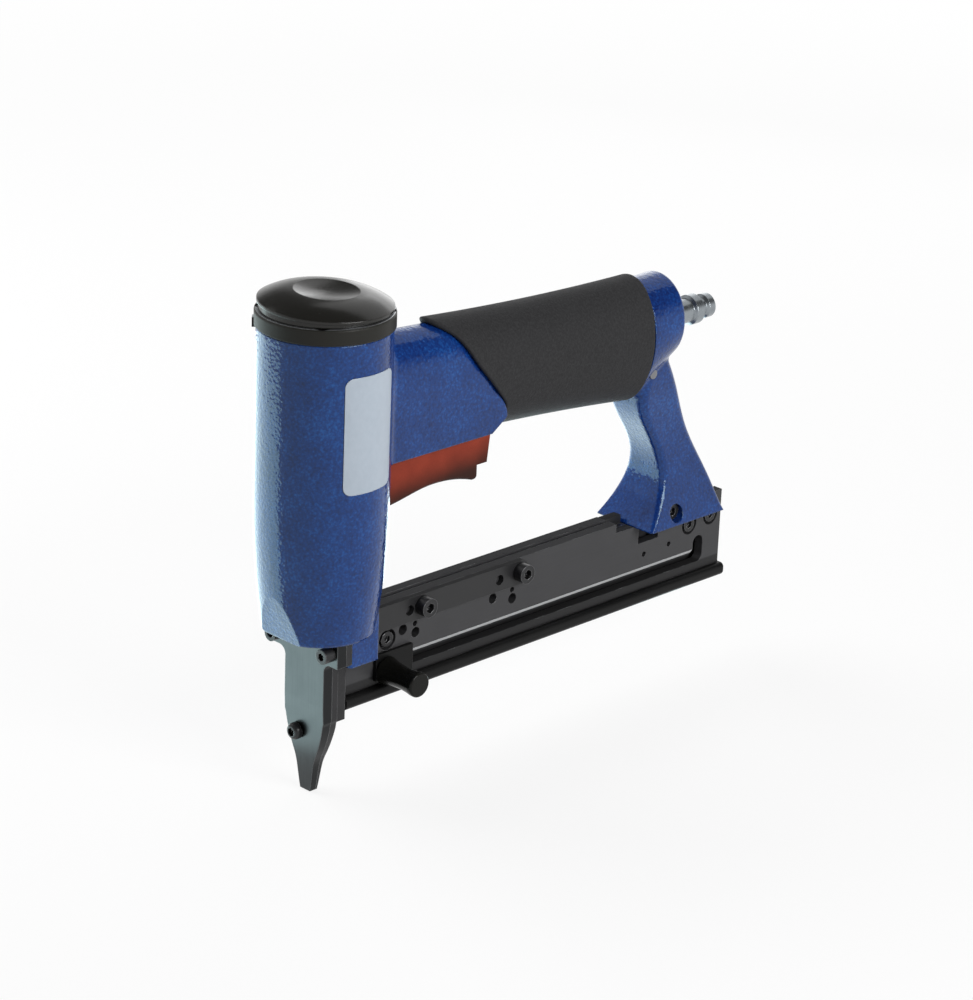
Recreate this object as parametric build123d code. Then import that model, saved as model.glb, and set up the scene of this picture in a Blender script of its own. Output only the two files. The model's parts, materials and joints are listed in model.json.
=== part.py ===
from build123d import *
import os
from math import cos, radians, sin, tan

# Pneumatic pin nailer. Millimetres, +X to the handle's end, +Z up the barrel, -Y is the knob's side.
# The origin is the middle of the nose tip, on the line along which the driver blade travels.

# Fits
slip = 0.05                   # radial play of a sliding or turning fit, and of a seat
seat = 0.05                   # play between two pieces that are screwed face to face
press_play = 0.02             # play of pressed pins and cut threads
clear = 0.3                   # air between pieces that pass each other
loose = 0.2                   # play of through holes and ends of screws
socket_key = 0.55             # hexagon socket: corner radius as a share of the head's radius
socket_depth = 0.6            # hexagon socket: depth as a share of the head's height

# Barrel of the housing
barrel_offset = 2.8           # barrel axis behind the driver line, which leaves room for the air chamber
barrel_r = 22.3
barrel_taper = 3.4            # how much narrower the barrel is at its foot
barrel_foot = 58.0
barrel_foot_round = 1.2
barrel_taper_top = 105.0
barrel_over_handle = 29.9     # barrel's top above the handle's axis
facet_foot_inset = 5.9        # flat facet at the front of the barrel's foot, measured in from the full radius
facet_top_inset = 0.6
facet_top = 77.2
barrel_wall = 5.0
cylinder_seat = 22.0          # length of the cylinder's seat, up to the floor of the air chamber
lug_x1 = 16.4                 # lugs under the barrel, on both sides of the magazine
lug_half_width = 15.2
lug_drop = 10.4               # below and above the barrel's foot
lug_rise = 6.0
lug_round = 1.2

# Cylinder, piston and driver
cylinder_r = 11.5
cylinder_wall = 1.5
cylinder_step = 3.4           # shoulder under the cylinder, above the barrel's floor
head_room = 12.8              # between the cylinder's end and the barrel's top
return_hole_r = 1.1
return_hole_count = 6
return_hole_rise = 4.0        # above the floor of the air chamber
sleeve_ring_rise = (6.0, 17.0)
ring_section = 1.6            # side of the square groove for each of the cylinder's rings
floor_over_foot = 4.6         # the barrel's floor lies above its foot and above the magazine
floor_over_magazine = 1.6
bumper_height = 13.1
piston_drop = 0.4             # below the cylinder's end, at rest
piston_head = 11.6
piston_hub_r = 4.5
piston_hub = 10.0
piston_ring_groove = 2.4
piston_ring_depth = 1.7
bumper_hole_r = 5.3
driver_width = 2.0
driver_thick = 1.1
driver_head_width = 5.0
driver_head_drop = 3.6        # below the piston's top
driver_tip_drop = 0.6         # the blade's tip rests just below the top of the floor
driver_pin_r = 1.0
driver_pin_inset = 0.6

# Head valve, cap and exhaust deflector
valve_travel = 3.0
valve_disc_r = 13.2
valve_disc = 3.0
valve_seal = 1.0
valve_skirt_r = 10.5
valve_skirt = 7.0
valve_port_r = 4.0
valve_ring = 0.9
valve_ring_inset = 1.3
valve_spring_seat_r = 8.9
valve_spring_seat = 5.0
valve_spring_r = 8.4
valve_spring_wire = 1.0
valve_spring_turns = 4
gasket = 0.5
gasket_inset = 0.1
cap_overhang = 0.6
cap_height = 5.2
cap_roof = 4.0
cap_spigot_gap = 0.3
cap_edge = 0.8
cap_tab_angle = 135.0         # small locating tab under the rim of the cap
cap_tab_width = 3.0
cap_tab_drop = 1.6
cap_tab_reach = 0.5
cap_screw_inset = 2.6         # screw circle, measured in from the barrel's radius
cap_screw_r = 1.5
cap_screw_head_r = 2.7
cap_screw_head = 3.0
cap_screw_sink = 3.3
cap_screw_grip = 12.0
cap_screw_count = 4
exhaust_hole_r = 1.6
exhaust_hole_pcr = 6.6
exhaust_hole_angles = (60, 120, 180, 240, 300)
post_r = 4.0
post_height = 3.0
post_groove = 1.0
post_groove_depth = 0.7
deflector_inset = 0.7         # rim and skirt of the cover, measured in from the cap's radius
deflector_skirt_inset = 1.4
deflector_skirt_wall = 1.6
deflector_lift = 0.1
deflector_skirt = 1.4
deflector_tilt = 2.7          # the cover stands higher over its open sector
deflector_rim = 1.0
deflector_crown = 6.2         # top of the dome above the cap
dimple_r = 10.8
dimple_depth = 1.2
dome_bulge = 0.28             # drop of the dome half way out, as a share of its whole drop
deflector_wall = 1.4
deflector_hub_wall = 2.4
window_start = 90.0           # the open sector of the skirt, which lets the exhaust out
window_end = 180.0

# Handle, trigger block and grip
handle_x = 79.5               # a point of the handle's axis
handle_z = 132.9
handle_tilt = 3.5             # the handle drops towards its end
core_half_width = 12.2
core_half_height = 18.95
tenon_r = 11.2                # round end of the handle, which the rear bracket takes up
tenon_length = 9.8
reservoir_r = 9.0
reservoir_half_height = 15.0
reservoir_x0 = 82.0
reservoir_x1 = 142.0
block_drop = 18.9             # block's underside below the handle's axis at handle_x
block_chamfer_x = 68.5
block_end_x = 75.6
block_chamfer = 4.8
web_fillet = 5.0              # hollow corner between barrel and block
grip_wall = 2.3
grip_waist = 0.3              # how much the middle of the grip is drawn in
grip_end_x = 145.2
grip_end_wall = 2.2           # at the rear end, on the sides
grip_end_flare = 3.85         # at the rear end, on top and below
grip_edge = 0.9
# Front edge of the grip in the side view: place along X, height over the axis as a share of the half height
grip_edge_points = ((46.0, 1.038), (53.5, 0.777), (60.5, 0.279), (69.5, -0.212), (74.5, -0.48), (75.5, -0.76))

# Trigger
pocket_x0 = 25.0
pocket_x1 = 73.2
pocket_depth = 7.5
trigger_half_width = 8.0
trigger_play = 0.4
trigger_x0 = 25.5
trigger_end_x = 70.6
trigger_end_top_x = 72.2
trigger_sunk = 1.5            # how far the trigger's top stands inside the pocket
trigger_toe_drop = 17.2       # drops are measured from the block's underside
groove_points = ((34.5, 15.8), (42.5, 14.5), (49.0, 14.3))
trigger_heel_x = 64.5
trigger_heel_drop = 17.1
trigger_step_x = 66.8
trigger_step_drop = 11.7
trigger_round = 1.6
trigger_edge = 1.4
pivot_x = 31.0
pivot_rise = 4.2              # above the block's underside
pivot_boss_r = 3.0
pivot_pin_r = 1.5
pivot_blind = 10.2

# Trigger valve
tv_x = 58.0
tv_r = 5.5
tv_body = 20.5
tv_neck = 6.5
tv_bore_r = 3.6
tv_plug = 4.5
tv_plug_spigot = 2.0
tv_ring_section = 1.5
tv_ring_inset = 0.9
stem_r = 2.0
stem_tip_round = 1.2
stem_head_r = 3.4
stem_head = 3.0
stem_spring_r = 3.2
stem_spring_wire = 0.6
stem_spring_turns = 6

# Rear bracket, its pin and the air plug
bracket_gap = 0.3
bracket_half_width = 14.2
bracket_half_height = 20.8
bracket_length = 16.3
bracket_end_rise = 1.6        # above handle_z
bracket_end_half_width = 13.7
bracket_end_half_height = 15.4
bracket_edge = 1.6
leg_web = 3.0                 # hollow corner between leg and head
leg_top_drop = 8.9            # upper end of the leg, inside the head, below handle_z
# Level cuts through the leg: share of its height, front and rear behind grip_end_x, half width, corner radius
leg_cuts = (
    (0.0, 4.4, 43.2, 13.8, 1.2),
    (0.11, 9.8, 40.7, 11.6, 2.0),
    (0.291, 13.7, 35.6, 9.0, 2.6),
    (0.487, 9.4, 28.6, 7.8, 3.0),
    (0.698, 1.8, 22.2, 8.6, 3.2),
    (0.834, 1.2, 18.2, 9.4, 3.6),
    (1.0, 2.8, 13.8, 8.4, 4.0),
)
foot_screw_back = 18.4        # behind grip_end_x
foot_screw_rise = 4.2         # above the foot
foot_screw_head_r = 3.1
foot_screw_head = 2.9
foot_screw_r = 1.75
foot_screw_floor = 7.6
foot_screw_end = 9.0
spigot_length = 9.0
airway_r = 5.5
airway_end = 2.5
spigot_ring = 2.0
spigot_ring_depth = 1.5
bracket_pin_back = 4.2
bracket_pin_drop = 15.9       # below handle_z
bracket_pin_r = 1.7
bracket_pin_half = 10.6
plug_drop = 0.6               # below handle_z
plug_thread_r = 4.6
plug_thread = 5.8
plug_body_r = 4.4
plug_ridge_r = 5.45
plug_neck_r = 3.5
plug_bore_r = 2.4
plug_reach = 26.5             # beyond the rear bracket
plug_tip = 4.4
plug_neck = 2.4
plug_ridge = 5.0
plug_collar = 1.5
plug_collar_r = 5.6
plug_bevel = 0.8
plug_seal = 0.8
plug_seal_r = 6.2

# Nose
nose_front_x = -3.2
nose_split_x = 0.7            # plane between the front plate and the back guide
nose_back_x = 3.3
nose_tip_front_x = -1.8
nose_tip_back_x = 1.37
nose_taper = 33.0             # the front face leans back below this height
nose_tip_taper = 10.0
nose_heel = 24.0
nose_heel_step = 0.7
nose_half_width = 9.5
nose_tip_half_width = 2.4
nose_shoulders = ((3.7, 7.6), (4.5, 11.3), (6.2, 15.5), (7.6, 19.5), (9.1, 26.0))
nose_shoulder_rise = 1.2
ear_half_width = 16.0
ear_drop = 8.6                # below the barrel's foot
ear_fillet = 3.0
ear_y = 12.6
ear_screw_drop = 4.0
channel_play = 0.15
feed_half_width = 0.9
feed_bottom = 31.0
nose_screw_r = 1.3
nose_screw_head_r = 2.6
nose_screw_head = 4.3
nose_screw_end = 12.0
lower_screw_y = 3.2
lower_screw_z = 21.0
lower_screw_r = 1.5
lower_screw_head_r = 2.9
lower_screw_head = 2.6
lower_screw_dome = 0.6        # rounding as a share of the head's height
head_bottom = 25.4
head_half_width = 7.6

# Magazine
mag_front_x = 8.5
mag_end_x = 196.6
mag_top = 61.0
mag_bottom = 32.2
plate_inner = 1.1
plate_outer = 4.8
pad_outer = 7.0
pad_height = 8.9
pad_end_x = 94.5
pad_corner = 4.0
slot_x0 = 24.0
slot_rise = 3.3               # above the magazine's underside
slot_height = 3.8
slot_bevel = 1.5              # on the face over the slot
slot_bevel_depth = 1.0
hook_width = 5.2              # the upturned end of the slot, where the knob is parked
hook_end_x = 187.5
hook_height = 10.2
hole_r = 1.9
small_hole_r = 1.0
pad_holes = ((37.8, 4.5), (80.2, 4.7))     # place along X and drop below the magazine's top
plate_holes = ((36.8, 49.0), (42.7, 46.5), (79.4, 49.0), (89.0, 46.5))
small_holes = ((42.4, 49.8), (88.8, 49.8), (156.0, 45.7), (169.1, 46.3))
notch_back = 7.3              # behind grip_end_x
notch_width = 10.5
notch_depth = 10.5
side_screw_x = (43.5, 90.0)
side_screw_drop = 4.0
side_screw_r = 2.0
side_screw_head_r = 3.4
side_screw_head = 4.0
front_screw = (29.7, 47.4)
rear_screws = ((179.7, 51.2), (191.0, 52.3))
sunk_screw_r = 1.5
sunk_head_r = 2.7
sunk_head = 2.2
sunk_bore_r = 3.8
spacer_half = 1.05
spacer_drop = 1.2
spacer_height = 5.8
saddle_depth = 3.3            # shallow cut in the magazine's top, in which the foot of the leg stands
saddle_lead = 9.0             # ahead of the foot
saddle_play = 0.6             # behind the foot
tab_back = 14.8               # behind grip_end_x
tab_width = 14.0
tab_rise = 5.0
end_block = 3.4
rail_half_width = 7.0
rail_height = 4.8
rail_x0 = 9.8
rail_x1 = 198.3
rail_round = 1.8
rail_screw_x = (20.0, 75.0, 130.0, 185.0)
rail_screw_r = 1.2
rail_screw_head_r = 2.2
rail_screw_bite = 2.4

# Pusher and its feed spring
pusher_stop_gap = 0.4         # air between the pusher and the end block, with the pusher drawn back
pusher_x0 = 4.0
pusher_x1 = 38.0
pusher_half = 0.85
pusher_tongue_half = 0.7
pusher_rise = 1.2             # above the magazine's underside
pusher_height = 13.4
slider_x0 = 23.5
slider_x1 = 40.3
slider_rise = 2.0
slider_height = 9.5
slider_gap = 0.25
slider_thick = 1.4
knob_x = 27.8
knob_rise = 5.2
knob_r = 5.0
knob_waist_r = 3.9
knob_neck_r = 3.0
knob_end = 23.2
knob_head_r = 4.4
knob_head = 1.8
knob_round = 0.7
stud_r = 1.6
spring_x = 33.5
spring_rise = 11.0
spring_r = 3.4
spring_hub_r = 1.6
spring_width = 2.2
strip_x0 = 14.0
strip_thick = 0.2
groove_depth = 2.5

# Values that follow from the dimensions above
grip_half_width = core_half_width + grip_wall
grip_half_height = core_half_height + grip_wall
grip_end_half_width = core_half_width + grip_end_wall
grip_end_half_height = core_half_height + grip_end_flare
core_end_x = grip_end_x + tenon_length
bracket_end_x = grip_end_x + bracket_length
bracket_pin_x = grip_end_x + bracket_pin_back
foot_screw_x = grip_end_x + foot_screw_back
plug_end_x = bracket_end_x + plug_reach
foot_front, foot_rear, foot_half_width = leg_cuts[0][1:4]
saddle_x0 = grip_end_x + foot_front - saddle_lead
saddle_x1 = grip_end_x + foot_rear + saddle_play
tab_x0 = grip_end_x + tab_back
tab_x1 = tab_x0 + tab_width
notch_x0 = grip_end_x + notch_back
notch_x1 = notch_x0 + notch_width
notch_bottom = mag_top - notch_depth
slot_bottom = mag_bottom + slot_rise
slot_top = slot_bottom + slot_height
hook_top = slot_bottom + hook_height
rail_bottom = mag_bottom - rail_height
rail_screw_top = mag_bottom + rail_screw_bite
pusher_bottom = mag_bottom + pusher_rise
pusher_top = pusher_bottom + pusher_height
slider_bottom = mag_bottom + slider_rise
slider_top = slider_bottom + slider_height
knob_z = mag_bottom + knob_rise
spring_z = mag_bottom + spring_rise
barrel_top = handle_z + barrel_over_handle
cylinder_top = barrel_top - head_room
piston_top = cylinder_top - piston_drop
driver_head_top = piston_top - driver_head_drop
block_bottom = handle_z - block_drop
block_end_z = block_bottom + block_chamfer
slope = tan(radians(handle_tilt))
grip_front = [
    (x, handle_z - slope * (x - handle_x) + share * grip_half_height) for x, share in grip_edge_points
]
pocket_top = block_bottom + pocket_depth
trigger_top = block_bottom + trigger_sunk
trigger_toe = (trigger_x0, block_bottom - trigger_toe_drop)
trigger_groove = [(x, block_bottom - drop) for x, drop in groove_points]
trigger_heel = (trigger_heel_x, block_bottom - trigger_heel_drop)
trigger_step_z = block_bottom - trigger_step_drop
pivot_z = block_bottom + pivot_rise
bracket_end_z = handle_z + bracket_end_rise
bracket_pin_z = handle_z - bracket_pin_drop
plug_z = handle_z - plug_drop
leg_foot = mag_top - saddle_depth
leg_top = handle_z - leg_top_drop
foot_screw_z = leg_foot + foot_screw_rise
pad_bottom = mag_top - pad_height
cap_holes = [(x, mag_top - drop) for x, drop in pad_holes]
side_screws = [(x, mag_top - side_screw_drop) for x in side_screw_x]
spacer_top = mag_top - spacer_drop
spacer_bottom = spacer_top - spacer_height
tab_top = mag_top + tab_rise
barrel_foot_r = barrel_r - barrel_taper
chamber_r = barrel_r - barrel_wall
floor_z = max(barrel_foot + floor_over_foot, mag_top + floor_over_magazine)
cylinder_foot = floor_z + cylinder_step
chamber_floor = cylinder_foot + cylinder_seat
return_hole_z = chamber_floor + return_hole_rise
sleeve_ring_z = [cylinder_foot + rise for rise in sleeve_ring_rise]
driver_rest_tip = floor_z - driver_tip_drop
lug_bottom = barrel_foot - lug_drop
lug_root = barrel_foot + lug_rise
ear_bottom = barrel_foot - ear_drop
ear_z = barrel_foot - ear_screw_drop
facet_foot_x = barrel_offset - barrel_r + facet_foot_inset
facet_top_x = barrel_offset - barrel_r + facet_top_inset
gasket_r = barrel_r - gasket_inset
cap_r = barrel_r + cap_overhang
cap_screw_pcr = barrel_r - cap_screw_inset
deflector_r = cap_r - deflector_inset
deflector_skirt_r = cap_r - deflector_skirt_inset
cylinder_outer = cylinder_r + cylinder_wall
cap_bottom = barrel_top + gasket
cap_top = cap_bottom + cap_height
valve_bore_top = cap_top - cap_roof
valve_disc_bottom = cylinder_top + slip + valve_seal
valve_disc_top = valve_disc_bottom + valve_disc
valve_top = valve_disc_top + valve_skirt
spigot_bottom = valve_disc_top + valve_travel + cap_spigot_gap
piston_bottom = piston_top - piston_head
bumper_top = floor_z + bumper_height
lug_x0 = nose_back_x + seat
head_back_x = mag_front_x - seat
stem_bottom = trigger_top + clear
tv_bottom = pocket_top
tv_body_top = tv_bottom + tv_body
tv_top = tv_body_top + tv_plug
pusher_travel = mag_end_x - end_block - pusher_stop_gap - pusher_x1
slider_inner = plate_outer + slider_gap
slider_outer = slider_inner + slider_thick
low = (Align.CENTER, Align.CENTER, Align.MIN)


def axis_z(x):
    return handle_z - slope * (x - handle_x)


def cyl_z(r, z0, z1, x=0.0, y=0.0):
    return Pos(x, y, z0) * Cylinder(r, z1 - z0, align=low)


def cyl_y(r, y0, y1, x, z):
    return Pos(x, y0, z) * Rot(-90, 0, 0) * Cylinder(r, y1 - y0, align=low)


def cyl_x(r, x0, x1, y, z):
    return Pos(x0, y, z) * Rot(0, 90, 0) * Cylinder(r, x1 - x0, align=low)


def tube_z(outer, inner, z0, z1, x=0.0):
    return cyl_z(outer, z0, z1, x) - cyl_z(inner, z0 - 1, z1 + 1, x)


def box(x0, x1, y0, y1, z0, z1):
    return Pos((x0 + x1) / 2, (y0 + y1) / 2, (z0 + z1) / 2) * Box(x1 - x0, y1 - y0, z1 - z0)


def side_shape(outline, y0, y1):
    """Extrudes an outline of the side view (X, Z) between two planes of constant Y."""
    return extrude(Plane.XZ.offset(-y0) * outline, y1 - y0, dir=(0, 1, 0))


def front_shape(outline, x0, x1):
    """Extrudes an outline of the front view (Y, Z) between two planes of constant X."""
    return extrude(Plane.YZ.offset(x0) * outline, x1 - x0)


def handle_plane(x, dz=0.0):
    """Cross-section plane of the handle where its axis passes x; its normal points to the rear."""
    tilt = radians(handle_tilt)
    return Plane((x, 0, axis_z(x) + dz), x_dir=(0, 1, 0), z_dir=(cos(tilt), 0, -sin(tilt)))


def along_handle(half_width, half_height, x0, x1):
    """Straight oval bar along the handle's axis."""
    length = (x1 - x0) / cos(radians(handle_tilt))
    return extrude(handle_plane(x0) * Ellipse(half_width, half_height), length)


def socket_screw(head_r, head, shank_r, shank, dome=0.0):
    """Hexagon socket screw along Z: head above zero, shank below."""
    body = cyl_z(head_r, 0, head) + cyl_z(shank_r, -shank, 0)
    if dome > 0:
        body = fillet(body.edges().group_by(Axis.Z)[-1], dome)
    socket = extrude(Pos(0, 0, head) * RegularPolygon(head_r * socket_key, 6), -head * socket_depth)
    return body - socket


def place(piece, point, direction):
    return Plane(point, z_dir=direction).location * piece


def coil(radius, wire, z0, z1, turns, x=0.0):
    """Helical compression spring standing on z0, with its wire inside the given heights."""
    height = z1 - z0 - wire
    path = Helix(height / turns, height, radius - wire / 2)
    profile = Plane(path @ 0, z_dir=path % 0) * RegularPolygon(wire / 2, 6)
    return Pos(x, 0, z0 + wire / 2) * sweep(profile, path)


def build_housing():
    wall = [
        Line((0, barrel_foot), (barrel_foot_r, barrel_foot)),
        TangentArc((barrel_r, barrel_taper_top), (barrel_foot_r, barrel_foot), tangent=(0, -1)),
        Line((barrel_r, barrel_taper_top), (barrel_r, barrel_top)),
        Line((barrel_r, barrel_top), (0, barrel_top)),
        Line((0, barrel_top), (0, barrel_foot)),
    ]
    barrel = Pos(barrel_offset, 0, 0) * revolve(Plane.XZ * make_face(wall), Axis.Z)
    barrel = fillet(barrel.edges().group_by(Axis.Z)[0], barrel_foot_round)
    facet = Polyline(
        (facet_foot_x, barrel_foot),
        (facet_top_x, facet_top),
        (facet_top_x - barrel_r, facet_top),
        (facet_top_x - barrel_r, barrel_foot - 1),
        (facet_foot_x, barrel_foot - 1),
        close=True,
    )
    barrel -= side_shape(make_face(facet), -barrel_r, barrel_r)

    core = along_handle(core_half_width, core_half_height, barrel_offset, grip_end_x)
    skirt = make_face(Polyline(
        (barrel_offset, block_bottom),
        (block_chamfer_x, block_bottom),
        (block_end_x, block_end_z),
        (block_end_x, axis_z(block_end_x)),
        (barrel_offset, axis_z(barrel_offset)),
        close=True,
    ))
    block = side_shape(skirt, -core_half_width, core_half_width) & ahead_of_grip(clear)
    handle = core + block
    body = barrel + handle
    roots = new_edges(barrel, handle, combined=body)
    roots = roots.filter_by(lambda edge: edge.center().Z > block_bottom + 1)
    body = fillet(roots, web_fillet)
    body += along_handle(tenon_r, tenon_r, grip_end_x - 1, core_end_x)

    lugs = box(lug_x0, lug_x1, -lug_half_width, lug_half_width, lug_bottom, lug_root)
    lugs = fillet(lugs.edges().filter_by(Axis.Z), lug_round)
    body += lugs

    # Air chamber, cylinder seat, bumper pocket and the driver's way out
    body -= cyl_z(chamber_r, chamber_floor, barrel_top + 1, barrel_offset)
    body -= cyl_z(cylinder_outer + slip, cylinder_foot, chamber_floor + 1)
    body -= cyl_z(cylinder_r, floor_z, cylinder_foot + 1)
    body -= cyl_z(driver_width, lug_bottom, floor_z + 1)
    for z in sleeve_ring_z:
        body -= tube_z(cylinder_outer + ring_section, cylinder_outer, z, z + ring_section)

    # Room for the magazine and its head between the lugs
    half = head_half_width + seat
    body -= box(lug_x0 - 1, mag_front_x, -half, half, lug_bottom - 1, barrel_foot)
    body -= box(mag_front_x - seat, lug_x1 + barrel_r, -pad_outer - clear, plate_outer + clear,
                lug_bottom - 1, mag_top + seat)

    # Trigger pocket, pivot hole and valve bore
    half = trigger_half_width + trigger_play
    body -= box(pocket_x0, pocket_x1, -half, half, block_bottom - 1, pocket_top)
    body -= cyl_y(pivot_pin_r + press_play, -pivot_blind, core_half_width + 1, pivot_x, pivot_z)
    body -= cyl_z(tv_r + slip, pocket_top - 1, tv_top + slip, tv_x)

    # Compressed air fills the handle and reaches the chamber
    body -= along_handle(reservoir_r, reservoir_r, barrel_offset + cylinder_outer, core_end_x + 1)
    body -= along_handle(reservoir_r, reservoir_half_height, reservoir_x0, reservoir_x1)

    # Holes for the pins and screws
    body -= cyl_y(bracket_pin_r + press_play, -core_half_width, core_half_width, bracket_pin_x, bracket_pin_z)
    thread_end = cap_top - cap_screw_sink - cap_screw_grip - 1
    for x, y in screw_circle():
        body -= cyl_z(cap_screw_r + press_play, thread_end, barrel_top + 1, x, y)
    for side in (-1, 1):
        body -= cyl_x(nose_screw_r + press_play, lug_x0 - 1, nose_screw_end + 1, side * ear_y, ear_z)
    return body


def screw_circle():
    """Places of the cap screws, round the barrel's axis."""
    step = 360 / cap_screw_count
    angles = [radians(step * (i + 0.5)) for i in range(cap_screw_count)]
    return [(barrel_offset + cap_screw_pcr * cos(a), cap_screw_pcr * sin(a)) for a in angles]


def build_head_gasket():
    ring = tube_z(gasket_r, chamber_r + slip, barrel_top, cap_bottom, barrel_offset)
    for x, y in screw_circle():
        ring -= cyl_z(cap_screw_r + loose, barrel_top - 1, cap_bottom + 1, x, y)
    return ring


def build_cylinder_cap():
    rim = cyl_z(cap_r, cap_bottom, cap_top, barrel_offset)
    rim = fillet(rim.edges().group_by(Axis.Z)[-1], cap_edge)
    cap = rim + cyl_z(chamber_r - slip, spigot_bottom, cap_bottom, barrel_offset)
    tab = box(barrel_r + slip, cap_r + cap_tab_reach, -cap_tab_width / 2, cap_tab_width / 2,
              cap_bottom - cap_tab_drop, cap_bottom + cap_tab_drop)
    cap += Pos(barrel_offset, 0, 0) * Rot(0, 0, cap_tab_angle) * tab
    cap -= cyl_z(valve_skirt_r + slip, spigot_bottom - 1, valve_bore_top)
    for angle in exhaust_hole_angles:
        a = radians(angle)
        x = barrel_offset + exhaust_hole_pcr * cos(a)
        cap -= cyl_z(exhaust_hole_r, valve_bore_top - 1, cap_top + 1, x, exhaust_hole_pcr * sin(a))
    for x, y in screw_circle():
        cap -= cyl_z(cap_screw_r + loose, cap_bottom - 1, cap_top, x, y)
        cap -= cyl_z(cap_screw_head_r + loose, cap_top - cap_screw_sink, cap_top + 1, x, y)
    post = cyl_z(post_r, cap_top, cap_top + post_height, barrel_offset)
    groove = cap_top + post_groove
    post -= tube_z(post_r + 1, post_r - post_groove_depth, groove, groove + post_groove, barrel_offset)
    return cap + post


def build_cap_screws():
    screw = socket_screw(cap_screw_head_r, cap_screw_head, cap_screw_r, cap_screw_grip)
    return [Pos(x, y, cap_top - cap_screw_sink) * screw for x, y in screw_circle()]


def build_deflector_ring():
    z = cap_top + post_groove
    inner = post_r - post_groove_depth + slip
    return tube_z(inner + 2 * post_groove_depth, inner, z + slip, z + post_groove - slip, barrel_offset)


def build_exhaust_deflector():
    base = cap_top + deflector_lift
    rim = base + deflector_skirt
    crown = cap_top + deflector_crown
    dish = crown - dimple_depth
    ceiling = dish - deflector_wall
    skirt_inner = deflector_skirt_r - deflector_skirt_wall
    foot = base - 2 * cap_r * tan(radians(deflector_tilt))
    dome_middle = ((deflector_r + dimple_r) / 2, crown - dome_bulge * (crown - rim - deflector_rim))
    profile = make_face([
        Line((0, ceiling), (0, dish)),
        ThreePointArc((0, dish), (dimple_r / 2, dish + dimple_depth / 4), (dimple_r, crown)),
        ThreePointArc((dimple_r, crown), dome_middle, (deflector_r, rim + deflector_rim)),
        Line((deflector_r, rim + deflector_rim), (deflector_r, rim)),
        Line((deflector_r, rim), (deflector_skirt_r, rim)),
        Line((deflector_skirt_r, rim), (deflector_skirt_r, foot)),
        Line((deflector_skirt_r, foot), (skirt_inner, foot)),
        Line((skirt_inner, foot), (skirt_inner, rim)),
        Line((skirt_inner, rim), (dimple_r, ceiling)),
        Line((dimple_r, ceiling), (0, ceiling)),
    ])
    cover = revolve(Plane.XZ * profile, Axis.Z)
    opening = Cylinder(cap_r, rim - foot, window_end - window_start, align=low)
    cover -= Pos(0, 0, foot) * Rot(0, 0, window_start) * opening

    # Tilted about the middle of its rim, then trimmed level with the cap
    facing = (window_start + window_end) / 2
    lean = Rot(0, 0, facing) * Rot(0, -deflector_tilt, 0) * Rot(0, 0, -facing)
    cover = Pos(0, 0, rim) * lean * Pos(0, 0, -rim) * cover
    cover -= cyl_z(cap_r + 1, 2 * foot - base, base)
    cover += tube_z(post_r + slip + deflector_hub_wall, post_r + slip, base, ceiling + deflector_wall / 2)
    groove = cap_top + post_groove
    ring_r = post_r + post_groove_depth + 2 * slip
    cover -= tube_z(ring_r + slip, post_r, groove - slip, groove + post_groove + slip)
    return Pos(barrel_offset, 0, 0) * cover


def build_cylinder_sleeve():
    sleeve = tube_z(cylinder_outer, cylinder_r, cylinder_foot + seat, cylinder_top)
    for i in range(return_hole_count):
        hole = cyl_x(return_hole_r, cylinder_r - 1, cylinder_outer + 1, 0, return_hole_z)
        sleeve -= Rot(0, 0, 360 / return_hole_count * i) * hole
    return sleeve


def build_sleeve_orings():
    outer = cylinder_outer + ring_section - slip
    return [tube_z(outer, cylinder_outer + slip, z + slip, z + ring_section - slip) for z in sleeve_ring_z]


def build_bumper():
    return tube_z(cylinder_r - slip, bumper_hole_r, floor_z + seat, bumper_top)


def build_piston():
    body = cyl_z(cylinder_r - slip, piston_bottom, piston_top)
    body += cyl_z(piston_hub_r, piston_bottom - piston_hub, piston_bottom)
    middle = (piston_top + piston_bottom) / 2
    body -= tube_z(cylinder_r + 1, cylinder_r - slip - piston_ring_depth,
                   middle - piston_ring_groove / 2, middle + piston_ring_groove / 2)
    half = driver_head_width / 2 + slip
    body -= box(-driver_thick / 2 - slip, driver_thick / 2 + slip, -half, half,
                piston_bottom - piston_hub - 1, driver_head_top + slip)
    return body - cyl_x(driver_pin_r + press_play, -cylinder_r, cylinder_r, 0, driver_pin_z())


def driver_pin_z():
    return piston_bottom - piston_hub / 2


def build_piston_oring():
    middle = (piston_top + piston_bottom) / 2
    half = piston_ring_groove / 2 - slip
    return tube_z(cylinder_r - slip, cylinder_r - piston_ring_depth, middle - half, middle + half)


def build_driver_blade():
    half = driver_thick / 2
    foot = piston_bottom - piston_hub
    blade = box(-half, half, -driver_width / 2, driver_width / 2, driver_rest_tip, foot)
    blade += box(-half, half, -driver_head_width / 2, driver_head_width / 2, foot, driver_head_top)
    return blade - cyl_x(driver_pin_r + press_play, -1, 1, 0, driver_pin_z())


def build_driver_pin():
    half = piston_hub_r - driver_pin_inset
    return cyl_x(driver_pin_r, -half, half, 0, driver_pin_z())


def build_main_valve():
    valve = cyl_z(valve_disc_r, valve_disc_bottom, valve_disc_top)
    valve += cyl_z(valve_skirt_r, valve_disc_top, valve_top)
    valve -= cyl_z(valve_spring_seat_r, valve_top - valve_spring_seat, valve_top + 1)
    valve -= cyl_z(valve_port_r, valve_disc_bottom - 1, valve_top)
    groove = valve_top - valve_ring_inset
    return valve - tube_z(valve_skirt_r + 1, valve_skirt_r - valve_ring, groove - valve_ring, groove)


def build_main_valve_oring():
    groove = valve_top - valve_ring_inset
    inner = valve_skirt_r - valve_ring + slip
    return tube_z(valve_skirt_r, inner, groove - valve_ring + slip, groove - slip)


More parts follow.
